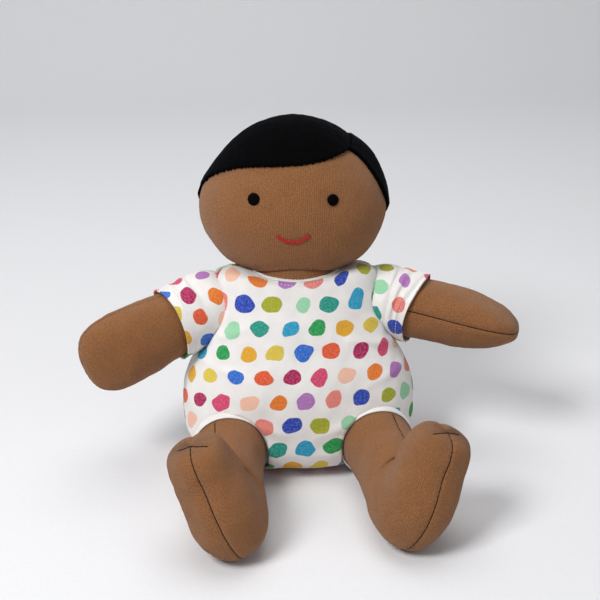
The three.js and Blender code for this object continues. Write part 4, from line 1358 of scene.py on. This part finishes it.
class DOLL_OT_hair(bpy.types.Operator):
    """Make the velour hair: the fringe, and the back with its side strip"""

    bl_idname = "doll.hair"
    bl_label = "Hair"

    def execute(self, context):
        shop = finishes()
        self.coat("hair_fringe", self.fringe_grid(), 41, shop)
        self.coat("hair_back", self.back_grid(), 42, shop)
        return {"FINISHED"}

    def hairline(self, count):
        s = sizes()
        shares = smooth_table(HAIRLINE_SHARES, count)
        x = -s.head_half_width * SIDE_SHARE + shares[:, 0] * (HAIR_APEX[0] + s.head_half_width)
        z = HAIR_ENDS["right"] + shares[:, 1] * (HAIR_APEX[1] - HAIR_ENDS["right"])
        ragged = np.sin(x * TURN / (2.3 * MM)) + 0.8 * np.sin(x * TURN / (3.7 * MM) + 1.0)
        ends = smooth_step(0, 0.06, shares[:, 0]) * smooth_step(1, 0.94, shares[:, 0])
        return front_places(x, z + 0.26 * MM * ragged * ends)

    def strip_line(self, count):
        s = sizes()
        shares = smooth_table(STRIP_SHARES, count)
        x = HAIR_APEX[0] + shares[:, 0] * (s.head_half_width * SIDE_SHARE - HAIR_APEX[0])
        z = HAIR_APEX[1] + shares[:, 1] * (HAIR_ENDS["left"] - HAIR_APEX[1])
        return front_places(x, z)

    def crown_line(self, count):
        """The seam over the crown at the head's own middle plane, from the right side round."""
        first = math.atan2(HAIR_ENDS["right"], -sizes().head_half_width) % TURN
        last = math.atan2(PARTING[1], PARTING[0])
        angle = np.linspace(first, last, count)
        return on_head(np.stack([np.cos(angle), 0 * angle, np.sin(angle)], axis=-1))

    def fringe_grid(self):
        """Rows from the hairline to the crown's seam, between them straight on the head."""
        low = self.even(self.hairline(420), 420)
        high = self.even(self.crown_line(420), 420)
        t = edge_spacing(90)[:, None, None]
        ways = unit(low)[None] * (1 - t) + unit(high)[None] * t
        return on_head(ways)

    def even(self, path, count):
        gone = walk(path[None], 1)[0]
        return places_along(path, gone, np.linspace(0, gone[-1], count))

    def back_grid(self):
        """Rings from a middle at the back out to the panel's edge: the parting's seam, the strip's
        inner edge, the nape and the crown's seam."""
        t = np.linspace(0, 1, 40)[:, None]
        apex = front_places(*map(np.array, HAIR_APEX))
        top = on_head(np.array([PARTING[0], 0, PARTING[1]]))
        seam = on_head(top * (1 - t) + apex * t)
        strip = self.strip_line(80)
        around = np.linspace(0, math.pi, 160)
        z = HAIR_ENDS["left"] * np.cos(around / 2) ** 2 + HAIR_ENDS["right"] * np.sin(around / 2) ** 2
        z = z + NAPE * np.sin(around) ** 1.1
        x, y = oval(*head_profile().at_first(z), HEAD_SQUARENESS, around)
        nape = np.stack([x, y, z], axis=-1)
        crown = self.crown_line(160)
        loop = self.even(np.concatenate([seam[:-1], strip[:-1], nape[:-1], crown]), 640)
        loop[-1] = loop[0]
        middle = unit(np.array([0.25, 0.8, 0.45]))
        t = np.sin(np.linspace(0, math.pi / 2, 72))[:, None, None]
        ways = middle[None, None] * (1 - t) + unit(loop)[None] * t
        return on_head(ways)

    def coat(self, name, grid, seed, shop):
        """Makes one velour panel: a top and an underside over the same grid, joined at the rim,
        with a ragged edge and a row of tufts along it."""
        place = head_place()
        out = head_out(grid)
        fringe = name == "hair_fringe"
        along, across = walk(grid, 0), walk(grid, 1)
        away = along[-1:] - along
        if fringe:
            away = np.minimum(np.minimum(away, along), across[:, -1:] - across)
        top = grid + out * hair_coat(grid, away, seed)[..., None]
        under = grid + out * (0.2 * MM + fuller(grid, FULLER_HEAD))[..., None]
        grids = [np.concatenate([top, under[::-1]])]
        if fringe:
            grids = [np.concatenate([top, under[::-1], top[:1]])]
            grids += [np.stack([top[:, j], under[:, j]], axis=1) for j in (0, -1)]
        points = np.concatenate([one.reshape(-1, 3) for one in grids])
        starts = np.cumsum([0, *(one.shape[0] * one.shape[1] for one in grids[:-1])])
        faces = [grid_faces(*one.shape[:2]) + start for one, start in zip(grids, starts)]
        faces = np.concatenate(faces)
        piece = add_mesh(f"{name}_velour", place.out(points), faces)
        finish_piece(piece, shop["Black velour"], "head", "hair_cloth", name)
        edge = grid[0] if fringe else grid[-1]
        self.tufts(f"{name}_tufts", edge, place, seed, shop)

    def tufts(self, name, edge, place, seed, shop):
        """Short tufts that lean out over a panel's edge, at seeded places along it."""
        rng = np.random.default_rng(seed)
        gone = walk(edge[None], 1)[0]
        count = int(gone[-1] / (0.22 * MM))
        at = np.sort(rng.uniform(0, gone[-1], count))
        centres = places_along(edge, gone, at)
        out = head_out(centres)
        way = unit(places_along(edge, gone, np.clip(at + 0.5 * MM, 0, gone[-1])) - centres)
        aside = unit(np.cross(out, way))
        lean = rng.normal(0, 0.5, (count, 1))
        aside = aside * self.outwards(edge, aside, centres)
        ways = aside * rng.uniform(0.5, 1.0, (count, 1)) + way * lean
        ways = ways + out * rng.uniform(0.1, 0.9, (count, 1))
        lengths = rng.uniform(0.45, 0.95, count) * MM
        stand = rng.uniform(0.3, 1.4, count) * MM + fuller(centres, FULLER_HEAD)
        centres = centres + out * stand[:, None]
        ways, ups = (unit(ways) @ place.rotation.T, out @ place.rotation.T)
        piece = many_forms(name, spike_form(), place.out(centres), ways, ups, lengths, 0.2 * MM)
        finish_piece(piece, shop["Black velour"], "head", "hair_cloth")

    def outwards(self, edge, aside, centres):
        """1 where aside points away from the panel's middle, and -1 where it points into it."""
        middle = edge.mean(axis=0)
        return np.sign(((centres - middle) * aside).sum(axis=-1, keepdims=True))


class DOLL_OT_face(bpy.types.Operator):
    """Make the satin-stitched eyes and the stitched mouth"""

    bl_idname = "doll.face"
    bl_label = "Eyes and mouth"

    def execute(self, context):
        shop = finishes()
        for name in SIDES:
            self.make_eye(name, shop)
        self.make_mouth(shop)
        return {"FINISHED"}

    def make_eye(self, name, shop):
        """An eye: a low dome whose height carries a cosine for each thread, on a ragged disc."""
        place = head_place()
        *middle, radius = EYES[name]
        centre = front_places(*map(np.array, middle))
        out = head_out(centre[None])[0]
        across = unit(np.cross((0, 0, 1.0), out))
        up = np.cross(out, across)
        share = np.sin(np.linspace(0, math.pi / 2, 30))[:, None]
        angle = np.linspace(0, TURN, 145)[None, :]
        x, y = share * np.cos(angle), share * np.sin(angle)
        slant = x * 0.94 + y * 0.34
        ragged = 1 + 0.035 * np.sin(slant * 46) * np.abs(np.sin(angle)) ** 0.5
        threads = 0.11 * MM * (0.5 + 0.5 * np.cos(slant * radius * TURN / (0.46 * MM)))
        height = 0.95 * MM * np.sqrt(np.maximum(1 - share**2.6, 0))
        height = height + threads * np.sqrt(np.maximum(1 - share**4, 0))
        flat = np.stack([x * radius * ragged, y * radius * ragged, height - 0.25 * MM], axis=-1)
        grid = place.out(centre + flat @ np.stack([across, up, out]))
        piece = grid_piece(f"{name}_eye_satin", grid)
        finish_piece(piece, shop["Eye thread"], "head", "eye_thread", f"{name}_eye")

    def make_mouth(self, shop):
        """The mouth: two rows of stitches that overlap along an arc sagging as a parabola."""
        place = head_place()
        across = np.linspace(-1, 1, 200)
        path = front_places(across * MOUTH_HALF, MOUTH_UP - MOUTH_SAG * (1 - across**2))
        out = head_out(path)
        centres, ways, ups = stitches_along(path, out, 1.55 * MM, 1.5 * MM)
        lean = np.where(np.arange(len(centres)) % 2, 1, -1)[:, None]
        aside = unit(np.cross(ups, ways))
        centres = np.concatenate([centres + side * aside * 0.55 * MM for side in (1, -1)])
        ways = np.concatenate([unit(ways) + side * 0.2 * aside * lean for side in (1, -1)])
        ups = np.concatenate([ups, ups])
        centres = place.out(centres + ups * 0.05 * MM)
        ways, ups = ways @ place.rotation.T, ups @ place.rotation.T
        form = stitch_form(9, 10)
        piece = many_forms("mouth_stitches", form, centres, ways, ups, 1.15 * MM, 0.58 * MM, 0.75)
        finish_piece(piece, shop["Mouth thread"], "head", "mouth_thread", "mouth_stitching")


def arm_profile():
    s = sizes()
    root = [
        (s.arm_root * math.sin(math.radians(a)), *[s.arm_root * math.cos(math.radians(a))] * 2, 2 * MM)
        for a in ROOT_ANGLES
    ]
    rest = [
        (a * s.arm_length, b * s.arm_half_width, c * s.arm_half_thickness, ARM_SQUARENESS * MM)
        for a, b, c in ARM_SHARES
    ]
    return Profile(root + rest)


def arm_form(share, angle):
    """The arm as a function of a share along it and an angle round it: a ball's rings, then
    ovals that widen and thin towards the mitten's end."""
    along, wide, thick, squareness = arm_profile().at(share)
    x, y = oval(np.maximum(wide, 0), np.maximum(thick, 0), squareness / MM, angle)
    return np.stack([x, y, along], axis=-1)


def limb_relief(local, broad, seams, depth, pucker, free, tip_width):
    """Heights over one panel of a limb: soft lumps that fade at its seams, and the grooves of its
    left and right seam. Broad is the large lumps' height, size and seed, and a seed for small
    ones. Free is 0 where the limb is held and 1 where it is free."""
    left, right, along = edge_walks(local)
    high, size, seed, small_seed = broad
    lift = high * lumps(local, size, seed) + 0.16 * MM * lumps(local, 9 * MM, small_seed)
    lift = (lift * smooth_step(1 * MM, 6 * MM, np.minimum(left, right)) + 0.25 * MM) * free
    tip = smooth_step(0, tip_width, left[:, -1:] / 2)
    for gone, edge_along, seam in ((left, along[:, :1], seams[0]), (right, along[:, -1:], seams[1])):
        lift = lift - seam_pull(gone, edge_along, seam, depth, pucker=pucker) * free * tip
    return lift


def limb_panel(limb, panel, grid, cloth):
    """One knitted panel of a limb, which stands for its packed panel."""
    piece = grid_piece(f"{limb}_{panel}_knit", grid, cloth)
    give_wall(piece, sizes().cloth_wall)
    finish_piece(piece, finishes()["Knitted skin"], limb, "skin_cloth", f"{limb}_{panel}_panel")


# The columns of a limb's panel from seam to seam.
PANEL_COLUMNS = 84
ARM_ROWS = 150


class DOLL_OT_arms(bpy.types.Operator):
    """Make the arms: two knitted panels each, sewn round a mitten hand"""

    bl_idname = "doll.arms"
    bl_label = "Arms"

    def execute(self, context):
        for index, name in enumerate(SIDES):
            limb = f"{name}_arm"
            for panel, start, seams in (("upper", 0.0, (61, 61)), ("under", TURN / 2, (62, 62))):
                shares, angles = np.linspace(0, 1, ARM_ROWS), half_round(start, PANEL_COLUMNS)
                local = arm_form(*np.meshgrid(shares, angles, indexing="ij"))
                z = local[..., 2]
                broad = (0.4 * MM, 26 * MM, 51 + index, 53)
                free = smooth_step(8 * MM, 26 * MM, z)
                lift = limb_relief(local, broad, seams, 0.55 * MM, 0.22 * MM, free, 9 * MM)
                grid = arm_place(name).out(local + outward(local) * lift[..., None])
                if panel == "upper":
                    wide = walk(local, 1)[:, -1]
                    rows = np.flatnonzero((z[:, 0] > 12 * MM) & (wide > 3 * MM))
                    for edge, side in ((0, "front"), (-1, "rear")):
                        thread_along(f"{limb}_{side}_seam", grid[rows, edge], 0.5 * MM, limb)
                limb_panel(limb, panel, grid, cloth_map(local))
        return {"FINISHED"}


# Past its plain length: how much longer each sleeve is all round, at its top, and less in front.
SLEEVE_MOUTHS = {"right": (6.0 * MM, -1.5 * MM, 0), "left": (2.8 * MM, 2.0 * MM, 7 * MM)}
# From a sleeve's mouth up to its hem's stitches.
HEM = 4.2 * MM


class DOLL_OT_sleeves(bpy.types.Operator):
    """Make the short sleeves: round tucked heads that open to loose hemmed mouths"""

    bl_idname = "doll.sleeves"
    bl_label = "Sleeves"

    def execute(self, context):
        s = sizes()
        profile, leave = self.sleeve_rows()
        z = profile[:, 1:]
        for index, name in enumerate(SIDES):
            place = arm_place(name)
            up, ahead = (place.rotation.T @ way for way in ((0, 0, 1.0), (0, -1.0, 0)))
            from_below = np.linspace(0, TURN, 181)[None, :]
            angle = from_below + math.atan2(up[1], up[0]) + TURN / 2
            out = smooth_step(leave, s.sleeve_reach, z)
            radius = profile[:, :1] + self.relief(z, angle, out, index)
            front = np.maximum(np.cos(angle - math.atan2(ahead[1], ahead[0])), 0)
            longer, higher, scooped = SLEEVE_MOUTHS[name]
            slant = longer - higher * np.cos(from_below) - scooped * front**1.5
            slant = (slant + 0.5 * MM * np.sin(2 * angle + 1)) * out
            grid = place.out(swept(radius, angle, z + slant))
            around = from_below * 23.5 * MM + 0.05 * index
            cloth = np.stack(np.broadcast_arrays(around, walk(grid, 0)), axis=-1)
            piece = grid_piece(f"{name}_sleeve_jersey", grid, cloth)
            give_wall(piece, s.cloth_wall)
            shop = finishes()
            finish_piece(piece, shop["Dotted jersey"], f"{name}_arm", "dot_cloth", f"{name}_sleeve")
            ring = np.argmin(np.abs(profile[:, 1] - (s.sleeve_reach - HEM)))
            normals = outward(grid, closed=True)[ring]
            path = grid[ring] + normals * 0.05 * MM
            sew(f"{name}_sleeve_stitches", path, normals, 2.3 * MM, 0.75 * MM, f"{name}_arm")
        return {"FINISHED"}

    def sleeve_rows(self):
        """A sleeve's radii and heights along the arm, and the height at which it leaves the round
        shoulder: part of a circle, then a flare by a power of the way along."""
        s = sizes()
        arc = np.radians(np.linspace(152, 80, 32))
        head = (s.arm_root + 1.7 * MM) * np.stack([np.sin(arc), np.cos(arc)], axis=-1)
        reach = np.linspace(0, 1, 60)[1:, None]
        mouth = np.array([s.sleeve_mouth - 0.7 * MM, s.sleeve_reach + 1.0 * MM])
        flare = head[-1] + (mouth - head[-1]) * np.concatenate([reach**1.2, reach], axis=1)
        return np.concatenate([head, flare]), head[-1, 1]

    def relief(self, z, angle, out, index):
        """Heights over a sleeve: waves round its mouth, folds round the arm, and the hem's groove,
        all sines of the angle and of the height."""
        waves = 0.55 * MM * np.sin(3 * angle + index) + 0.35 * MM * np.sin(5 * angle + 2.1 + index)
        waves = waves + 0.22 * MM * np.sin(9 * angle + 0.7)
        tilt = 1.2 * np.sin(2 * angle + index)
        folds = (0.85 + 0.5 * index) * MM * np.sin(z * TURN / (6.5 * MM) + tilt)
        folds = folds * (0.5 + 0.5 * np.sin(2 * angle + 1.9 + index)) * smooth_step(0.0, 6 * MM, z)
        hem = -0.3 * MM * bell(z - sizes().sleeve_reach + HEM, 0.55 * MM)
        return np.maximum(waves * out + folds * (1 - out * 0.5) + hem * out, -0.55 * MM)


# What a radian of a ring's lean weighs as a length in the leg's table.
LEAN_WEIGHT = 20 * MM


def leg_profile():
    """The leg's rings as rows: the middle's height and distance, the lean of the ring, its half
    height, half width and squareness. Lean and squareness are scaled to weigh like lengths."""
    s = sizes()
    crease = (s.leg_half_height - 1.5 * MM, s.shin_length)
    rows = []
    for degrees in ROOT_ANGLES:
        a = math.radians(degrees)
        half = s.leg_root * math.cos(a)
        rows.append((0, s.leg_root * math.sin(a), 0, half, half, 2))
    for along, high, wide in SHIN_SHARES:
        half = high * s.leg_half_height
        rows.append((0, along * s.shin_length, 0, half, wide * s.leg_half_width, LEG_SQUARENESS))
    for degrees, deep, wide in HEEL_SHARES:
        a = math.radians(degrees)
        half = (deep * s.heel_depth - 1.5 * MM) / 2
        back = -half - 1.5 * MM
        middle = (crease[0] + back * math.cos(a), crease[1] - back * math.sin(a))
        rows.append((*middle, a * LEAN_WEIGHT, half, wide * s.leg_half_width, LEG_SQUARENESS))
    for rise, thick, wide in FOOT_SHARES:
        middle = (crease[0] + rise * s.foot_rise, crease[1] + s.foot_thickness / 2)
        lean, half = TURN / 4 * LEAN_WEIGHT, thick * s.foot_thickness / 2
        rows.append((*middle, lean, half, wide * s.leg_half_width, LEG_SQUARENESS))
    return Profile(rows, (1, 1, 1, 1, 1, MM))


def crossing(grid, height, level):
    """Where each column of a grid first rises past a level: between the rows beside it."""
    columns = np.arange(height.shape[1])
    row = np.argmax(height >= level, axis=0)
    before, after = height[row - 1, columns], height[row, columns]
    t = ((level - before) / (after - before))[:, None]
    return grid[row - 1, columns] * (1 - t) + grid[row, columns] * t


def leg_form(share, angle):
    """The leg as a function of a share along it and an angle round it: rings along the shin
    that fan round the ankle's crease and stand up along the foot."""
    y0, z0, lean, high, wide, squareness = leg_profile().at(share)
    x, y = oval(np.maximum(wide, 0), np.maximum(high, 0), squareness / MM, angle)
    lean = lean / LEAN_WEIGHT
    return np.stack([x, y0 + y * np.cos(lean), z0 - y * np.sin(lean)], axis=-1)


LEG_ROWS = 260
# The first row of a leg's panel that is on the foot.
FOOT_ROW = 150
LEG_THREAD = 0.48 * MM
# How far the toe's seam reaches to each side, and how far below the foot's top the front one ends.
TOE_SEAM_HALF = 11.5 * MM
FRONT_SEAM_END = 6.2 * MM
# Seen a little from above, a place further back looks higher by this share of the distance.
SEEN_RISE = 0.45
# Degrees from the leg's way at which the cuff's hem ends.
CUFF_END = 83


def seen_height(place, local):
    """How high points of a frame look from a little above: their height and how far back."""
    points = place.out(local)
    return points[..., 2] + SEEN_RISE * points[..., 1]


class DOLL_OT_legs(bpy.types.Operator):
    """Make the legs: two knitted panels each, with a bent ankle and a standing foot"""

    bl_idname = "doll.legs"
    bl_label = "Legs"

    def execute(self, context):
        for index, (name, side) in enumerate(SIDES.items()):
            place = leg_place(name)
            shares = np.linspace(0, 1, LEG_ROWS)
            around = np.linspace(0, TURN, 241)
            whole = leg_form(*np.meshgrid(shares, around, indexing="ij"))
            foot = whole[..., 1] > 40 * MM
            front_end = seen_height(place, whole)[foot].max() - FRONT_SEAM_END
            toe_paths = [
                self.make_half(name, place, index, side > 0, sole_first, front_end)
                for sole_first in (True, False)
            ]
            toe_seam = np.concatenate([toe_paths[1][:-1], toe_paths[0]])
            thread_along(f"{name}_leg_toe_seam", toe_seam, LEG_THREAD, f"{name}_leg")
            self.make_cuff(name, place, index)
        return {"FINISHED"}

    def make_half(self, name, place, index, left_leg, sole_first, front_end):
        """One panel of a leg, from the sole's seam to the front's or the other way about. The
        first one sews the leg's long seams. Gives its part of the toe's seam."""
        s = sizes()
        limb = f"{name}_leg"
        outer = sole_first == left_leg
        angles = half_round(-TURN / 4 if sole_first else TURN / 4, PANEL_COLUMNS)
        local = leg_form(*np.meshgrid(np.linspace(0, 1, LEG_ROWS), angles, indexing="ij"))
        free = smooth_step(6 * MM, 22 * MM, local[..., 2] + np.abs(local[..., 1]) * 0.2)
        broad = (0.45 * MM, 27 * MM, 71 + index, 73)
        seams = (82, 81) if sole_first else (81, 82)
        lift = limb_relief(local, broad, seams, 0.6 * MM, 0.3 * MM, free, 10 * MM)
        height = seen_height(place, local)
        toe_height = local[..., 1] - SEEN_RISE * local[..., 2] if outer else height
        sole_edge = 0 if sole_first else -1
        along = walk(local, 0)[:, sole_edge]
        toe_row = np.argmax(along[-1] - along < 1.5 * MM)
        toe_level = toe_height[toe_row, sole_edge]
        sole = smooth_step(s.shin_length + 14 * MM, s.shin_length + 22 * MM, local[..., 2])
        short = smooth_step(14 * MM, 10 * MM, np.abs(local[..., 0]))
        lift = lift - 0.75 * MM * sole * short * bell(toe_height - toe_level, 1.0 * MM)
        grid = above_floor(place.out(local + outward(local) * lift[..., None]))
        if sole_first:
            wide = walk(local, 1)[:, -1]
            rows = np.arange(LEG_ROWS)
            past_root = local[:, 0, 2] > 3 * MM
            front = (wide > 3 * MM) & ((height[:, -1] < front_end) | (rows < FOOT_ROW))
            for edge, seam, sewn in ((0, "sole", rows <= toe_row), (-1, "front", front)):
                path = grid[past_root & sewn, edge]
                thread_along(f"{limb}_{seam}_seam", path, LEG_THREAD, limb)
        cloth = cloth_map(local)
        panel = "outer" if outer else "inner"
        limb_panel(limb, panel, grid, cloth[..., ::-1] if outer else cloth)
        half = slice(0, PANEL_COLUMNS // 2) if sole_first else slice(PANEL_COLUMNS // 2, None)
        local, grid, toe_height = (values[FOOT_ROW:, half] for values in (local, grid, toe_height))
        within = np.abs(crossing(local, toe_height, toe_level)[:, 0]) < TOE_SEAM_HALF
        return crossing(grid, toe_height, toe_level)[within]

    def make_cuff(self, name, place, index):
        """The cloth that turns under round the top of the leg: part of a ball, with a hem."""
        arc = np.radians(np.linspace(158, CUFF_END, 90))[:, None]
        angle = np.linspace(0, TURN, 121)[None, :]
        near = np.degrees(arc) - CUFF_END
        lift = -0.2 * MM * bell(near - 6, 1.0) - 0.5 * MM * bell(near, 1.2)
        lift = lift + 0.15 * MM * np.sin(5 * angle + index) * smooth_step(30, 0, near)
        radius = sizes().leg_root + 1.35 * MM + lift
        grid = place.out(swept(radius * np.sin(arc), angle, radius * np.cos(arc)))
        grid = above_floor(grid, softness=0.4 * MM)
        cloth = cloth_map(grid, 0) + (0.02 * index + 0.004, 0.001)
        piece = grid_piece(f"{name}_leg_cuff", grid, cloth)
        give_wall(piece, 0.8 * MM)
        finish_piece(piece, finishes()["White jersey"], f"{name}_leg", "dot_cloth")


class DOLL_OT_insides(bpy.types.Operator):
    """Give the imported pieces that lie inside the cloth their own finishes"""

    bl_idname = "doll.insides"
    bl_label = "Filling"

    def execute(self, context):
        inside = {
            "stuffing": "Fibre filling", "bead_pouch": "Bead pouch weave", "gathered_root": "Brown thread",
        }
        for name in frame["nodes"]:
            for ending, finish in inside.items():
                if name.endswith(ending):
                    materials = bpy.data.objects[name].data.materials
                    materials.clear()
                    materials.append(finishes()[finish])
        return {"FINISHED"}


# The camera's degrees round from the front and up, where it looks, how far off, and its lens.
CAMERA_ANGLES = (-5.22, 23.79)
CAMERA_TARGET = (0.0002, -0.018, 0.112)
CAMERA_DISTANCE = 0.75
CAMERA_LENS = 71.5
LAMP_TARGET = (0, -0.02, 0.09)


class DOLL_OT_stage(bpy.types.Operator):
    """Set up the floor, the soft studio light and the camera"""

    bl_idname = "doll.stage"
    bl_label = "Stage"

    def execute(self, context):
        scene = context.scene
        scene.view_settings.view_transform = "Standard"
        self.make_camera(scene)
        self.make_sweep()
        self.lamp("Key lamp", (-0.8, -0.7, 1.2), 0.5, 17.0)
        self.lamp("Fill lamp", (1.1, -0.9, 0.7), 0.9, 2.5)
        self.lamp("Top lamp", (0.0, 0.2, 1.5), 1.1, 9.0)
        world = bpy.data.worlds.new("Studio")
        world.use_nodes = True
        background = world.node_tree.nodes["Background"]
        background.inputs["Color"].default_value = (0.95, 0.97, 1.0, 1.0)
        background.inputs["Strength"].default_value = 0.24
        scene.world = world
        return {"FINISHED"}

    def aim(self, name, data, place, back):
        """An object with this data at a place, whose own Z points back, away from what it faces."""
        right = unit(np.cross((0, 0, 1.0), back))
        matrix = np.eye(4)
        matrix[:3] = np.stack([right, np.cross(back, right), back, place], axis=-1)
        thing = bpy.data.objects.new(name, data)
        thing.matrix_world = Matrix(matrix)
        bpy.context.scene.collection.objects.link(thing)
        return thing

    def make_camera(self, scene):
        """The camera at the photo's angle: round the doll, then up, and back along that way."""
        azimuth, elevation = (math.radians(angle) for angle in CAMERA_ANGLES)
        back = turned("z", azimuth) @ turned("x", -elevation) @ [0, -1.0, 0]
        data = bpy.data.cameras.new("Camera")
        data.sensor_width = 36
        data.lens = CAMERA_LENS
        place = np.array(CAMERA_TARGET) + back * CAMERA_DISTANCE
        scene.camera = self.aim("Camera", data, place, back)

    def make_sweep(self):
        """The floor that turns up into a backdrop: straight, a quarter round, then straight."""
        floor_end, bend, height, half = 0.9, 0.5, 1.2, 3.0
        arc = np.linspace(0, TURN / 4, 24)
        y = np.concatenate([[-3.0], floor_end + bend * np.sin(arc), [floor_end + bend]])
        z = np.concatenate([[0.0], bend - bend * np.cos(arc), [bend + height]])
        x = np.linspace(-half, half, 9)
        grid = np.stack(np.broadcast_arrays(x[None, :], y[:, None], z[:, None]), axis=-1)
        sweep = add_mesh("studio_sweep", grid, grid_faces(*grid.shape[:2])[:, ::-1], weld=False)
        paper = fibre_material(
            "Paper sweep", colours().floor, (400.0, 3.0), (0.985, 1.01), 0.05 * MM, 0.9, 0.1
        )
        sweep.data.materials.append(paper)

    def lamp(self, name, place, size, power):
        data = bpy.data.lights.new(name, "AREA")
        data.energy, data.size = power, size
        self.aim(name, data, place, unit(np.array(place) - LAMP_TARGET))


OPERATORS = (
    DOLL_OT_body, DOLL_OT_bodysuit, DOLL_OT_head, DOLL_OT_hair, DOLL_OT_face, DOLL_OT_arms,
    DOLL_OT_sleeves, DOLL_OT_legs, DOLL_OT_insides, DOLL_OT_stage,
)


class DOLL_PT_panel(bpy.types.Panel):
    """Lists the doll's pieces, sizes and colours"""

    bl_idname = "DOLL_PT_panel"
    bl_label = "Baby Doll"
    bl_space_type = "VIEW_3D"
    bl_region_type = "UI"
    bl_category = "Baby Doll"

    def draw(self, context):
        for operator in OPERATORS:
            self.layout.operator(operator.bl_idname)
        for group in (context.scene.doll_sizes, context.scene.doll_colours):
            box = self.layout.box()
            for name in group.__annotations__:
                box.prop(group, name)


CLASSES = (DollSizes, DollColours, *OPERATORS, DOLL_PT_panel)


def register():
    for one in CLASSES:
        bpy.utils.register_class(one)
    bpy.types.Scene.doll_sizes = PointerProperty(type=DollSizes)
    bpy.types.Scene.doll_colours = PointerProperty(type=DollColours)


def unregister():
    del bpy.types.Scene.doll_colours
    del bpy.types.Scene.doll_sizes
    for one in reversed(CLASSES):
        bpy.utils.unregister_class(one)


def main():
    register()
    bpy.ops.doll.body()
    bpy.ops.doll.bodysuit()
    bpy.ops.doll.head()
    bpy.ops.doll.hair()
    bpy.ops.doll.face()
    bpy.ops.doll.arms()
    bpy.ops.doll.sleeves()
    bpy.ops.doll.legs()
    bpy.ops.doll.insides()
    bpy.ops.doll.stage()


if __name__ == "__main__":
    main()
